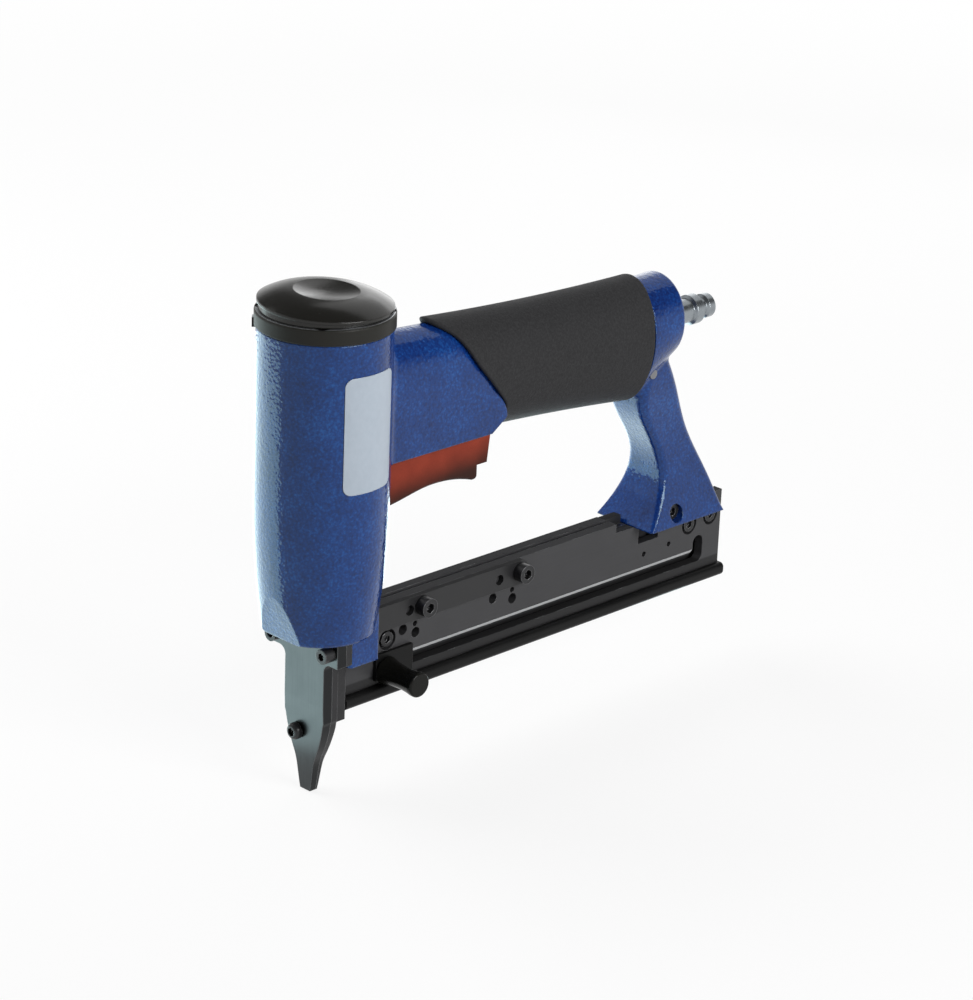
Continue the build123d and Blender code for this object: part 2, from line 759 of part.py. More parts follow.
def build_main_valve_seal():
    return tube_z(cylinder_outer - seat, cylinder_r + seat, cylinder_top + slip, valve_disc_bottom)


def build_main_valve_spring():
    bottom = valve_top - valve_spring_seat + slip
    return coil(valve_spring_r, valve_spring_wire, bottom, valve_bore_top - slip, valve_spring_turns)


def build_trigger():
    step = (trigger_step_x, trigger_step_z)
    corner = (trigger_end_x, trigger_step_z)
    groove = Spline(trigger_toe, *trigger_groove, trigger_heel)
    rest = Polyline(
        trigger_heel,
        (trigger_step_x, trigger_heel[1]),
        step,
        corner,
        (trigger_end_top_x, trigger_top),
        (trigger_x0, trigger_top),
        trigger_toe,
    )
    outline = make_face([groove, *rest.edges()])
    body = side_shape(outline, -trigger_half_width, trigger_half_width)
    heel = body.edges().filter_by(Axis.Y).sort_by_distance((trigger_step_x, 0, trigger_heel[1]))[0]
    body = fillet(heel, trigger_round)
    rims = [
        edge for edge in body.edges()
        if abs(edge.center().Y) > trigger_half_width - slip
        and edge.center().Z < trigger_step_z - trigger_edge
        and edge.center().X > trigger_x0 + trigger_edge
    ]
    body = fillet(rims, trigger_edge)
    body += cyl_y(pivot_boss_r, -trigger_half_width, trigger_half_width, pivot_x, pivot_z)
    return body - cyl_y(pivot_pin_r + slip, -trigger_half_width - 1, trigger_half_width + 1, pivot_x, pivot_z)


def build_trigger_pin():
    return cyl_y(pivot_pin_r, -pivot_blind + slip, core_half_width - loose, pivot_x, pivot_z)


def build_trigger_valve_body():
    body = cyl_z(tv_r, tv_bottom, tv_body_top, tv_x)
    body -= cyl_z(stem_r + slip, tv_bottom - 1, tv_bottom + tv_neck + 1, tv_x)
    body -= cyl_z(tv_bore_r, tv_bottom + tv_neck, tv_body_top + 1, tv_x)
    groove = tv_bottom + tv_ring_inset
    return body - tube_z(tv_r + 1, tv_r - tv_ring_section, groove, groove + tv_ring_section, tv_x)


def build_trigger_valve_plug():
    plug = cyl_z(tv_r, tv_body_top + seat, tv_top, tv_x)
    plug += cyl_z(tv_bore_r - slip, tv_body_top - tv_plug_spigot, tv_body_top + seat, tv_x)
    groove = tv_top - tv_ring_inset - tv_ring_section
    return plug - tube_z(tv_r + 1, tv_r - tv_ring_section, groove, groove + tv_ring_section, tv_x)


def build_trigger_valve_orings():
    inner = tv_r - tv_ring_section + slip
    grooves = (tv_bottom + tv_ring_inset, tv_top - tv_ring_inset - tv_ring_section)
    return [tube_z(tv_r, inner, z + slip, z + tv_ring_section - slip, tv_x) for z in grooves]


def build_trigger_valve_stem():
    shoulder = tv_bottom + tv_neck + slip
    stem = cyl_z(stem_r, stem_bottom, shoulder, tv_x)
    stem = fillet(stem.edges().group_by(Axis.Z)[0], stem_tip_round)
    return stem + cyl_z(stem_head_r, shoulder, shoulder + stem_head, tv_x)


def build_trigger_valve_spring():
    bottom = tv_bottom + tv_neck + stem_head + 2 * slip
    top = tv_body_top - tv_plug_spigot - slip
    return coil(stem_spring_r, stem_spring_wire, bottom, top, stem_spring_turns, tv_x)


def build_grip_sleeve():
    start_x = grip_front[0][0]
    middle_x = (start_x + grip_end_x) / 2
    sections = [
        handle_plane(start_x) * Ellipse(grip_half_width, grip_half_height),
        handle_plane(middle_x) * Ellipse(grip_half_width - grip_waist, grip_half_height - grip_waist),
        handle_plane(grip_end_x) * Ellipse(grip_end_half_width, grip_end_half_height),
    ]
    sleeve = loft(sections)
    bore_x0, bore_x1 = start_x - grip_half_height, grip_end_x + grip_half_height
    sleeve -= along_handle(core_half_width + slip, core_half_height + slip, bore_x0, bore_x1)
    sleeve -= ahead_of_grip(0)
    skin = sleeve.faces().sort_by(SortBy.AREA)[-1]
    seam = skin.edges().filter_by(lambda edge: edge.bounding_box().size.Y < slip)
    return fillet([edge for edge in skin.edges() if edge not in seam], grip_edge)


def ahead_of_grip(gap):
    """The space in front of the grip's slanted front edge, less a gap along X."""
    edge = Spline(*[(x - gap, z) for x, z in grip_front])
    back = barrel_offset - barrel_r
    foot = axis_z(grip_end_x) - 2 * grip_half_height
    top = grip_front[0][1]
    outline = make_face([
        edge,
        *Polyline(edge @ 1, ((edge @ 1).X, foot), (back, foot), (back, top), edge @ 0).edges(),
    ])
    return side_shape(outline, -2 * grip_half_width, 2 * grip_half_width)


def build_rear_bracket():
    face = handle_plane(grip_end_x + bracket_gap) * Ellipse(bracket_half_width, bracket_half_height)
    end_plane = Plane((bracket_end_x, 0, bracket_end_z), x_dir=(0, 1, 0), z_dir=(1, 0, 0))
    head = loft([face, end_plane * Ellipse(bracket_end_half_width, bracket_end_half_height)])
    head = fillet(head.edges().group_by(Axis.X)[-1], bracket_edge)

    leg = loft([
        Pos(grip_end_x + (front + rear) / 2, 0, leg_foot + share * (leg_top - leg_foot))
        * RectangleRounded(rear - front, 2 * half, corner)
        for share, front, rear, half, corner in leg_cuts
    ])
    body = head + leg
    body = fillet(new_edges(head, leg, combined=body), leg_web)
    body -= along_handle(tenon_r + slip, tenon_r + slip, grip_end_x - 1, core_end_x + seat)
    spigot_r = reservoir_r - slip
    groove_r = spigot_r - spigot_ring_depth
    spigot = along_handle(spigot_r, spigot_r, core_end_x - spigot_length, core_end_x + 1)
    spigot -= along_handle(spigot_r + 1, spigot_r + 1, *spigot_groove())
    spigot += along_handle(groove_r, groove_r, *spigot_groove())
    body += spigot
    body -= along_handle(airway_r, airway_r, core_end_x - spigot_length - 1, core_end_x + airway_end)
    thread_x = bracket_end_x - plug_thread - seat
    body -= cyl_x(plug_thread_r + press_play, thread_x, bracket_end_x + 1, 0, plug_z)

    # The foot stands in the magazine's saddle and clamps the tab between its walls
    tab_half = spacer_half + slip
    screw_y0, screw_y1 = -foot_screw_floor - 1, foot_screw_end + 1
    body -= box(tab_x0 - clear, tab_x1 + clear, -tab_half, tab_half, leg_foot - 1, tab_top + clear)
    body -= cyl_y(foot_screw_head_r + loose, -foot_half_width, -foot_screw_floor, foot_screw_x, foot_screw_z)
    body -= cyl_y(foot_screw_r + press_play, screw_y0, screw_y1, foot_screw_x, foot_screw_z)
    half = foot_half_width
    return body - cyl_y(bracket_pin_r + press_play, -half, half, bracket_pin_x, bracket_pin_z)


def spigot_groove():
    middle = core_end_x - spigot_length / 2
    return middle - spigot_ring / 2, middle + spigot_ring / 2


def build_reservoir_oring():
    start, stop = spigot_groove()
    outer = along_handle(reservoir_r - slip, reservoir_r - slip, start + slip, stop - slip)
    inner = reservoir_r - spigot_ring_depth
    return outer - along_handle(inner, inner, start - 1, stop + 1)


def build_bracket_pin():
    return cyl_y(bracket_pin_r, -bracket_pin_half, bracket_pin_half, bracket_pin_x, bracket_pin_z)


def build_bracket_screw():
    screw = socket_screw(foot_screw_head_r, foot_screw_head, foot_screw_r, foot_screw_floor + foot_screw_end)
    return place(screw, (foot_screw_x, -foot_screw_floor, foot_screw_z), (0, -1, 0))


def build_air_plug():
    start = bracket_end_x - plug_thread
    face = bracket_end_x + plug_seal + seat
    ridge_x0 = plug_end_x - plug_tip - plug_neck - plug_ridge
    ridge_x1 = ridge_x0 + plug_ridge
    neck_x1 = ridge_x1 + plug_neck
    profile = make_face(Polyline(
        (start, plug_bore_r),
        (start, plug_thread_r),
        (face, plug_thread_r),
        (face, plug_collar_r),
        (face + plug_collar, plug_collar_r),
        (face + plug_collar + plug_bevel, plug_body_r),
        (ridge_x0, plug_body_r),
        (ridge_x0 + plug_bevel, plug_ridge_r),
        (ridge_x1 - plug_bevel, plug_ridge_r),
        (ridge_x1, plug_neck_r),
        (neck_x1, plug_neck_r),
        (neck_x1 + plug_bevel, plug_body_r),
        (plug_end_x - plug_bevel, plug_body_r),
        (plug_end_x, plug_body_r - plug_bevel),
        (plug_end_x, plug_bore_r),
        close=True,
    ))
    return Pos(0, 0, plug_z) * revolve(Plane.XZ * profile, Axis.X)


def build_plug_seal():
    ring = cyl_x(plug_seal_r, bracket_end_x + seat, bracket_end_x + plug_seal, 0, plug_z)
    return ring - cyl_x(plug_thread_r + slip, bracket_end_x - 1, bracket_end_x + 2, 0, plug_z)


def nose_outline():
    """Front view of the nose plates: tapered tip, straight sides and ears under the barrel's foot."""
    top = barrel_foot - seat
    ends = [
        Line((-nose_tip_half_width, 0), (nose_tip_half_width, 0)),
        Line((-ear_half_width, top), (ear_half_width, top)),
    ]
    y, z = nose_shoulders[-1]
    for side in (-1, 1):
        wall = side * nose_half_width
        ear = side * (nose_half_width + ear_fillet)
        end = side * ear_half_width
        ends += [
            Spline((side * nose_tip_half_width, 0), *[(side * a, b) for a, b in nose_shoulders]),
            Line((side * y, z), (wall, z + nose_shoulder_rise)),
            Line((wall, z + nose_shoulder_rise), (wall, ear_bottom - ear_fillet)),
            TangentArc((wall, ear_bottom - ear_fillet), (ear, ear_bottom), tangent=(0, 1)),
            Line((ear, ear_bottom), (end, ear_bottom)),
            Line((end, ear_bottom), (end, top)),
        ]
    return make_face(ends)


def nose_side(x0, x1):
    """Side view of the whole nose, kept between two planes of constant X."""
    outline = make_face(Polyline(
        (nose_tip_front_x, 0),
        (nose_front_x, nose_taper),
        (nose_front_x, barrel_foot),
        (nose_back_x, barrel_foot),
        (nose_back_x, nose_heel),
        (nose_tip_back_x + nose_heel_step, nose_tip_taper),
        (nose_tip_back_x, 0),
        close=True,
    ))
    limits = box(x0, x1, -ear_half_width, ear_half_width, -1, barrel_foot)
    return side_shape(outline, -ear_half_width, ear_half_width) & limits


def build_nose_front_plate():
    plate = front_shape(nose_outline(), nose_front_x, nose_split_x) & nose_side(nose_front_x, nose_split_x)
    half = driver_width / 2 + channel_play
    x0, x1 = nose_front_x - 1, nose_split_x + 1
    plate -= box(-driver_thick / 2 - channel_play, x1, -half, half, -1, barrel_foot + 1)
    plate -= cyl_x(lower_screw_r + press_play, x0, x1, lower_screw_y, lower_screw_z)
    for side in (-1, 1):
        plate -= cyl_x(nose_screw_r + slip, x0, x1, side * ear_y, ear_z)
    return plate


def build_nose_back_guide():
    guide = front_shape(nose_outline(), nose_split_x, nose_back_x)
    guide &= nose_side(nose_split_x + seat, nose_back_x)
    x0, x1 = nose_split_x - 1, nose_back_x + 1
    guide -= box(x0, x1, -feed_half_width, feed_half_width, feed_bottom, barrel_foot + 1)
    for side in (-1, 1):
        guide -= cyl_x(nose_screw_r + slip, x0, x1, side * ear_y, ear_z)
    return guide - cyl_x(lower_screw_r + press_play, x0, x1, lower_screw_y, lower_screw_z)


def build_magazine_head():
    front = nose_back_x + seat
    head = box(front, head_back_x, -head_half_width, head_half_width, head_bottom, barrel_foot - seat)
    return head - box(front - 1, mag_front_x, -feed_half_width, feed_half_width, feed_bottom, barrel_foot)


def build_nose_screws():
    screw = socket_screw(nose_screw_head_r, nose_screw_head, nose_screw_r, nose_screw_end - nose_front_x)
    return [place(screw, (nose_front_x, side * ear_y, ear_z), (-1, 0, 0)) for side in (-1, 1)]


def build_nose_lower_screw():
    length = nose_back_x - nose_front_x - loose
    dome = lower_screw_head * lower_screw_dome
    screw = socket_screw(lower_screw_head_r, lower_screw_head, lower_screw_r, length, dome)
    return place(screw, (nose_front_x, lower_screw_y, lower_screw_z), (-1, 0, 0))


def slot_cut(y0, y1):
    """The long slot of the left plate, turned up at its rear end."""
    hook_r = hook_width / 2
    hook_x = hook_end_x - hook_r
    low_z, high_z = slot_bottom + hook_r, hook_top - hook_r
    long_part = box(slot_x0, hook_x, y0, y1, slot_bottom, slot_top)
    hook = box(hook_x - hook_r, hook_end_x, y0, y1, low_z, high_z)
    hook += cyl_y(hook_r, y0, y1, hook_x, high_z)
    hook += cyl_y(hook_r, y0, y1, hook_x, low_z)
    return long_part + hook


def plate_blank(y0, y1):
    blank = box(mag_front_x, mag_end_x, y0, y1, mag_bottom, mag_top)
    return blank - box(saddle_x0, saddle_x1, y0 - 1, y1 + 1, leg_foot - seat, mag_top + 1)


def build_magazine_left_plate():
    plate = plate_blank(-plate_outer, -plate_inner)
    plate -= slot_cut(-plate_outer - 1, 0)
    bevel = make_face(Polyline(
        (-plate_outer, slot_top - slot_bevel),
        (-plate_outer, slot_top + slot_bevel),
        (-plate_outer + slot_bevel_depth, slot_top),
        (-plate_outer + slot_bevel_depth, slot_top - slot_bevel),
        close=True,
    ))
    plate -= front_shape(bevel, slot_x0, hook_end_x - hook_width)
    plate -= box(notch_x0, notch_x1, -plate_outer - 1, 0, notch_bottom, mag_top + 1)
    for x, z in plate_holes:
        plate -= cyl_y(hole_r, -plate_outer - 1, 0, x, z)
    for x, z in small_holes:
        plate -= cyl_y(small_hole_r, -plate_outer - 1, 0, x, z)
    for x, z in side_screws:
        plate -= cyl_y(side_screw_r + slip, -plate_outer - 1, 0, x, z)
    for x, z in (front_screw, *rear_screws):
        plate -= cyl_y(sunk_bore_r, -plate_outer - 1, -plate_outer + sunk_head, x, z)
        plate -= cyl_y(sunk_screw_r + press_play, -plate_outer, 0, x, z)
    for x in rail_screw_x:
        plate -= cyl_z(rail_screw_r + press_play, mag_bottom - 1, rail_screw_top + loose, x, rail_screw_y(-1))
    return plate


def rail_screw_y(side):
    return side * (plate_inner + plate_outer) / 2


def build_magazine_right_plate():
    plate = plate_blank(plate_inner, plate_outer)
    groove_end = spring_x + pusher_travel + spring_r + clear
    groove_bottom = spring_z - spring_r - clear
    groove_top = spring_z + spring_r + 2 * strip_thick + clear
    groove_y = plate_inner + groove_depth
    plate -= box(strip_x0 - loose, groove_end, 0, groove_y, groove_bottom, groove_top)
    for x, z in side_screws:
        plate -= cyl_y(side_screw_r + press_play, 0, plate_outer + 1, x, z)
    for x, z in rear_screws:
        plate -= cyl_y(sunk_screw_r + press_play, 0, plate_outer + 1, x, z)
    for x in rail_screw_x:
        plate -= cyl_z(rail_screw_r + press_play, mag_bottom - 1, rail_screw_top + loose, x, rail_screw_y(1))
    return plate


def build_magazine_side_pad():
    pad = box(mag_front_x, pad_end_x, -pad_outer, -plate_outer - seat / 2, pad_bottom, mag_top)
    corner = pad.edges().filter_by(Axis.Y).sort_by_distance((pad_end_x, -pad_outer, mag_top))[0]
    pad = fillet(corner, pad_corner)
    for x, z in cap_holes:
        pad -= cyl_y(hole_r, -pad_outer - 1, 0, x, z)
    for x, z in side_screws:
        pad -= cyl_y(side_screw_r + slip, -pad_outer - 1, 0, x, z)
    x, z = front_screw
    return pad - cyl_y(sunk_bore_r + loose, -pad_outer - 1, 0, x, z)


def build_magazine_spacer():
    bar = box(mag_front_x, mag_end_x - end_block - seat, -spacer_half, spacer_half, spacer_bottom, spacer_top)
    bar -= box(saddle_x0, saddle_x1, -spacer_half, spacer_half, leg_foot - seat, spacer_top)
    bar += box(tab_x0, tab_x1, -spacer_half, spacer_half, spacer_bottom, tab_top)
    for x, z in side_screws:
        bar -= cyl_y(side_screw_r + slip, -spacer_half - 1, spacer_half + 1, x, z)
    return bar - cyl_y(foot_screw_r + slip, -spacer_half - 1, spacer_half + 1, foot_screw_x, foot_screw_z)


def build_magazine_end_block():
    return box(mag_end_x - end_block, mag_end_x, -spacer_half, spacer_half, mag_bottom + seat, spacer_top)


def build_magazine_rail():
    rail = box(rail_x0, rail_x1, -rail_half_width, rail_half_width, rail_bottom, mag_bottom)
    rail = fillet(rail.edges().filter_by(Axis.X), rail_round)
    rear = rail.faces().sort_by(Axis.X)[-1]
    rail = fillet(rear.edges().filter_by(Axis.Y), rail_round / 2)
    for x in rail_screw_x:
        for side in (-1, 1):
            rail -= cyl_z(rail_screw_r + slip, rail_bottom - 1, mag_bottom + 1, x, rail_screw_y(side))
            rail -= cyl_z(rail_screw_head_r + slip, rail_bottom - 1, rail_head_top(), x, rail_screw_y(side))
    return rail


def rail_head_top():
    return (rail_bottom + mag_bottom) / 2


def build_rail_screws():
    length = rail_screw_top - rail_head_top()
    screw = socket_screw(rail_screw_head_r, rail_head_top() - rail_bottom - loose, rail_screw_r, length)
    spots = [(x, rail_screw_y(side), rail_head_top()) for x in rail_screw_x for side in (-1, 1)]
    return [place(screw, spot, (0, 0, -1)) for spot in spots]


def build_magazine_cap_screws():
    screw = socket_screw(side_screw_head_r, side_screw_head, side_screw_r, pad_outer + plate_outer - loose)
    return [place(screw, (x, -pad_outer, z), (0, -1, 0)) for x, z in side_screws]


def build_magazine_front_screw():
    x, z = front_screw
    screw = socket_screw(sunk_head_r, sunk_head, sunk_screw_r, plate_outer - sunk_head - plate_inner)
    return place(screw, (x, -plate_outer + sunk_head, z), (0, -1, 0))


def build_magazine_rear_screws():
    screw = socket_screw(sunk_head_r, sunk_head, sunk_screw_r, 2 * plate_outer - sunk_head - loose)
    return [place(screw, (x, -plate_outer + sunk_head, z), (0, -1, 0)) for x, z in rear_screws]


def build_pusher_blade():
    blade = box(slider_x0, pusher_x1, -pusher_half, pusher_half, pusher_bottom, pusher_top)
    blade += box(pusher_x0, slider_x0, -pusher_tongue_half, pusher_tongue_half, pusher_bottom, pusher_top)
    blade += cyl_y(spring_hub_r, 0, plate_inner + spring_width, spring_x, spring_z)
    return blade - cyl_y(stud_r + press_play, -pusher_half - 1, pusher_half + 1, knob_x, knob_z)


def build_pusher_slider():
    slider = box(slider_x0, slider_x1, -slider_outer, -slider_inner, slider_bottom, slider_top)
    return slider - cyl_y(stud_r + press_play, -slider_outer - 1, 0, knob_x, knob_z)


def build_pusher_knob():
    root = rail_half_width + clear
    head = knob_end - knob_head
    profile = make_face([
        ThreePointArc((knob_r, -root), (knob_waist_r, -(root + head) / 2), (knob_head_r, -head)),
        Line((knob_head_r, -head), (knob_head_r, -knob_end)),
        Line((knob_head_r, -knob_end), (0, -knob_end)),
        Line((0, -knob_end), (0, -root)),
        Line((0, -root), (knob_r, -root)),
    ])
    grip = revolve(profile, Axis.Y)
    grip = Pos(knob_x, 0, knob_z) * fillet(grip.edges().group_by(Axis.Y)[0], knob_round)
    grip += cyl_y(knob_neck_r, -root, -slider_outer, knob_x, knob_z)
    return grip + cyl_y(stud_r, -slider_outer, pusher_half, knob_x, knob_z)


def build_spring_roll():
    y0 = plate_inner + slip
    y1 = plate_inner + spring_width
    roll = cyl_y(spring_r, y0, y1, spring_x, spring_z)
    return roll - cyl_y(spring_hub_r + press_play, y0 - 1, y1 + 1, spring_x, spring_z)


def build_spring_strip():
    top = spring_z + spring_r + slip
    return box(strip_x0, spring_x, plate_inner + slip, plate_inner + spring_width, top, top + strip_thick)


pieces = {
    "housing": build_housing,
    "head_gasket": build_head_gasket,
    "cylinder_cap": build_cylinder_cap,
    "cap_screws": build_cap_screws,
    "deflector_ring": build_deflector_ring,
    "exhaust_deflector": build_exhaust_deflector,
    "cylinder_sleeve": build_cylinder_sleeve,
    "sleeve_orings": build_sleeve_orings,
    "bumper": build_bumper,
    "piston": build_piston,
    "piston_oring": build_piston_oring,
    "driver_blade": build_driver_blade,
    "driver_pin": build_driver_pin,
    "main_valve": build_main_valve,
    "main_valve_seal": build_main_valve_seal,
    "main_valve_oring": build_main_valve_oring,
    "main_valve_spring": build_main_valve_spring,
    "trigger": build_trigger,
    "trigger_pin": build_trigger_pin,
    "trigger_valve_body": build_trigger_valve_body,
    "trigger_valve_plug": build_trigger_valve_plug,
    "trigger_valve_orings": build_trigger_valve_orings,
    "trigger_valve_stem": build_trigger_valve_stem,
    "trigger_valve_spring": build_trigger_valve_spring,
    "grip_sleeve": build_grip_sleeve,
    "rear_bracket": build_rear_bracket,
    "reservoir_oring": build_reservoir_oring,
    "bracket_pin": build_bracket_pin,
    "bracket_screw": build_bracket_screw,
    "air_plug": build_air_plug,
    "plug_seal": build_plug_seal,
    "nose_front_plate": build_nose_front_plate,
    "nose_back_guide": build_nose_back_guide,
    "magazine_head": build_magazine_head,
    "nose_screws": build_nose_screws,
    "nose_lower_screw": build_nose_lower_screw,
    "magazine_left_plate": build_magazine_left_plate,
    "magazine_right_plate": build_magazine_right_plate,
    "magazine_side_pad": build_magazine_side_pad,
    "magazine_spacer": build_magazine_spacer,
    "magazine_end_block": build_magazine_end_block,
    "magazine_rail": build_magazine_rail,
    "rail_screws": build_rail_screws,
    "magazine_cap_screws": build_magazine_cap_screws,
    "magazine_front_screw": build_magazine_front_screw,
    "magazine_rear_screws": build_magazine_rear_screws,
    "pusher_blade": build_pusher_blade,
    "pusher_slider": build_pusher_slider,
    "pusher_knob": build_pusher_knob,
    "spring_roll": build_spring_roll,
    "spring_strip": build_spring_strip,
}

os.makedirs("parts", exist_ok=True)
for name, build in pieces.items():
    piece = build()
    if isinstance(piece, list):
        piece = Compound(children=piece)
    export_step(piece, f"parts/{name}.step")
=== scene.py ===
import json
import math
import bmesh
import bpy
from mathutils import Matrix, Vector


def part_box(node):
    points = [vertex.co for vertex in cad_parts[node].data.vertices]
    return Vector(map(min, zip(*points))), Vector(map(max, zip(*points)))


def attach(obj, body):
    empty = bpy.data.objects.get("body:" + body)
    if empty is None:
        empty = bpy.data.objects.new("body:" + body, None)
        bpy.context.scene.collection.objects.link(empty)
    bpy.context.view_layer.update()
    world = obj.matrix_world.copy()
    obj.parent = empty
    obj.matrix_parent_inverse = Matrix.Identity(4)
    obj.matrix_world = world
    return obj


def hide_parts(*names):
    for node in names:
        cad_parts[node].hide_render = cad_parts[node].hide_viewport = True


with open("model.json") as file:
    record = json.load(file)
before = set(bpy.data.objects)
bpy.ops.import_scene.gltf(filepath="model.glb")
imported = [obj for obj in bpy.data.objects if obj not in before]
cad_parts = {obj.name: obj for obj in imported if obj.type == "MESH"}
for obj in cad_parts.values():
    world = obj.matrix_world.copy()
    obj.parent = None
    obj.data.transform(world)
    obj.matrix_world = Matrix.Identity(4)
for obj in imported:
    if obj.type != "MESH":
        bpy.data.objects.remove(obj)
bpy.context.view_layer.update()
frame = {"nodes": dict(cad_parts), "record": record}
nodes = frame["nodes"]
mm = 0.001
print("frame loaded,", len(nodes), "solids")


class Wire:  # one socket of a shader tree; maths on it adds Math nodes
    def __init__(self, tree, socket=None):
        self.tree = tree
        self.socket = socket

    def node(self, kind, settings=None, inputs=None, output=0):  # settings first, then values or links
        made = self.tree.nodes.new(kind)
        for key, value in (settings or {}).items():
            if key == "stops":
                ramp = made.color_ramp
                for element, stop in zip((ramp.elements[0], ramp.elements[1]), (value[0], value[-1])):
                    element.position, element.color = stop
                for place, colour in value[1:-1]:
                    ramp.elements.new(place).color = colour
            else:
                setattr(made, key, value)
        for key, value in (inputs or {}).items():
            if isinstance(value, Wire):
                self.tree.links.new(value.socket, made.inputs[key])
            else:
                made.inputs[key].default_value = value
        return Wire(self.tree, made.outputs[output])

    def maths(self, operation, first, second=0.0):
        return self.node("ShaderNodeMath", {"operation": operation}, {0: first, 1: second})

    def __add__(self, other):
        return self.maths("ADD", self, other)

    __radd__ = __add__

    def __sub__(self, other):
        return self.maths("SUBTRACT", self, other)

    def __rsub__(self, other):
        return self.maths("SUBTRACT", other, self)

    def __mul__(self, other):
        return self.maths("MULTIPLY", self, other)

    __rmul__ = __mul__

    def step(self, low, high):  # smooth step from 0 at low to 1 at high
        return self.node("ShaderNodeMapRange", {"interpolation_type": "SMOOTHSTEP"},
                         {"Value": self, "From Min": low, "From Max": high})

    def mix(self, first, second):  # colours, by this wire as the factor
        return self.node("ShaderNodeMix", {"data_type": "RGBA"}, {0: self, 6: first, 7: second}, 2)

    def noise(self, scale, detail=2.0, rough=0.5):
        return self.node("ShaderNodeTexNoise", None,
                         {"Vector": self, "Scale": scale, "Detail": detail, "Roughness": rough})

    def cells(self, scale, feature="F1"):
        return self.node("ShaderNodeTexVoronoi", {"feature": feature}, {"Vector": self, "Scale": scale})

    def part(self, index):  # X, Y or Z of a vector
        return self.node("ShaderNodeSeparateXYZ", None, {0: self}, index)

    def stretch(self, scale, turn=(0, 0, 0)):
        return self.node("ShaderNodeMapping", None, {"Vector": self, "Scale": scale, "Rotation": turn})


def startFinish(name):  # a new material, its shader and its Object coordinates
    material = bpy.data.materials.new(name)
    material.use_nodes = True
    tree = material.node_tree
    place = Wire(tree).node("ShaderNodeTexCoord", output="Object")
    return material, tree.nodes["Principled BSDF"], place


def facing(place, index):  # how far a face looks along X, Y or Z
    return place.node("ShaderNodeTexCoord", output="Normal").part(index)


def feed(shader, sockets):
    for key, value in sockets.items():
        if isinstance(value, Wire):
            value.tree.links.new(value.socket, shader.inputs[key])
        else:
            shader.inputs[key].default_value = value


def edgeWear(place, radius):  # 0 on flats, rises on outer and inner edges
    soft = place.node("ShaderNodeBevel", {"samples": 6}, {"Radius": radius})
    flat = place.node("ShaderNodeNewGeometry", output="Normal")
    same = place.node("ShaderNodeVectorMath", {"operation": "DOT_PRODUCT"}, {0: soft, 1: flat}, 1)
    return soft, 1 - same


def bump(place, height, strength, distance, normal=None):
    inputs = {"Strength": strength, "Distance": distance, "Height": height}
    if normal:
        inputs["Normal"] = normal
    return place.node("ShaderNodeBump", None, inputs)


hammerPaint = {
    "deep": (0.004, 0.012, 0.085, 1), "mid": (0.005, 0.034, 0.185, 1), "light": (0.012, 0.095, 0.36, 1),
    "grain": 900, "mottle": 1250, "cloud": 70, "roughness": 0.11, "bump": 0.65, "bumpDepth": 0.00022,
    "edge": 0.0007, "flake": (0.72, 0.94, 1, 1), "gloss": 0.45, "uneven": 0.14, "thin": 0.3, "thinPatch": 300,
}


def makeHammerPaint(look):
    material, shader, place = startFinish("hammerPaint")
    soft, wear = edgeWear(place, look["edge"])
    pits = place.cells(look["grain"], "SMOOTH_F1")
    ripple = place.noise(look["grain"] * 0.55, 2.0, 0.45)
    height = pits * 0.65 + ripple * 0.6
    mottle = place.noise(look["mottle"], 3.0, 0.6)
    cloud = place.noise(look["cloud"], 2.0)
    blend = (mottle - 0.5) * 1.0 + (cloud - 0.5) * 0.6 + (0.42 - pits) * 0.4 + 0.5
    colour = place.node("ShaderNodeValToRGB", {"stops": [
        (0.15, look["deep"]), (0.55, look["mid"]), (0.95, look["light"])]}, {0: blend})
    patch = place.noise(look["thinPatch"], 2.0).step(0.5, 0.75)
    thin = wear.step(0.05, 0.35) * patch * look["thin"]  # paint is thin in places on the edges
    colour = thin.mix(colour, look["light"])
    feed(shader, {
        "Base Color": colour,
        "Roughness": (mottle - 0.5) * look["uneven"] + look["roughness"],
        "Specular IOR Level": look["gloss"], "Specular Tint": look["flake"],
        "Normal": bump(place, height, look["bump"], look["bumpDepth"], soft),
    })
    return material


hairScratch = {"stretch": (160, 2400, 900), "turn": (0, 0, 0.5), "from": 0.66, "to": 0.8, "strength": 0.12}
enamelLooks = {  # the cap's top is machined bare under its cover
    "coverEnamel": {
        "base": (0.010, 0.0095, 0.008, 1), "dust": (0.05, 0.05, 0.05, 1), "bare": (0.5, 0.52, 0.54, 1),
        "roughness": 0.2, "peel": 420, "bump": 0.06, "edge": 0.0005, "machined": 0.0, "gloss": 0.38,
    },
    "knobEnamel": {
        "base": (0.007, 0.007, 0.006, 1), "dust": (0.05, 0.05, 0.05, 1), "bare": (0.5, 0.52, 0.54, 1),
        "roughness": 0.2, "peel": 600, "bump": 0.06, "edge": 0.0004, "machined": 0.0, "gloss": 0.14,
    },
    "capEnamel": {
        "base": (0.022, 0.0215, 0.019, 1), "dust": (0.05, 0.05, 0.05, 1), "bare": (0.5, 0.52, 0.54, 1),
        "roughness": 0.4, "peel": 420, "bump": 0.08, "edge": 0.0004, "machined": 1.0, "gloss": 0.12,
    },
}


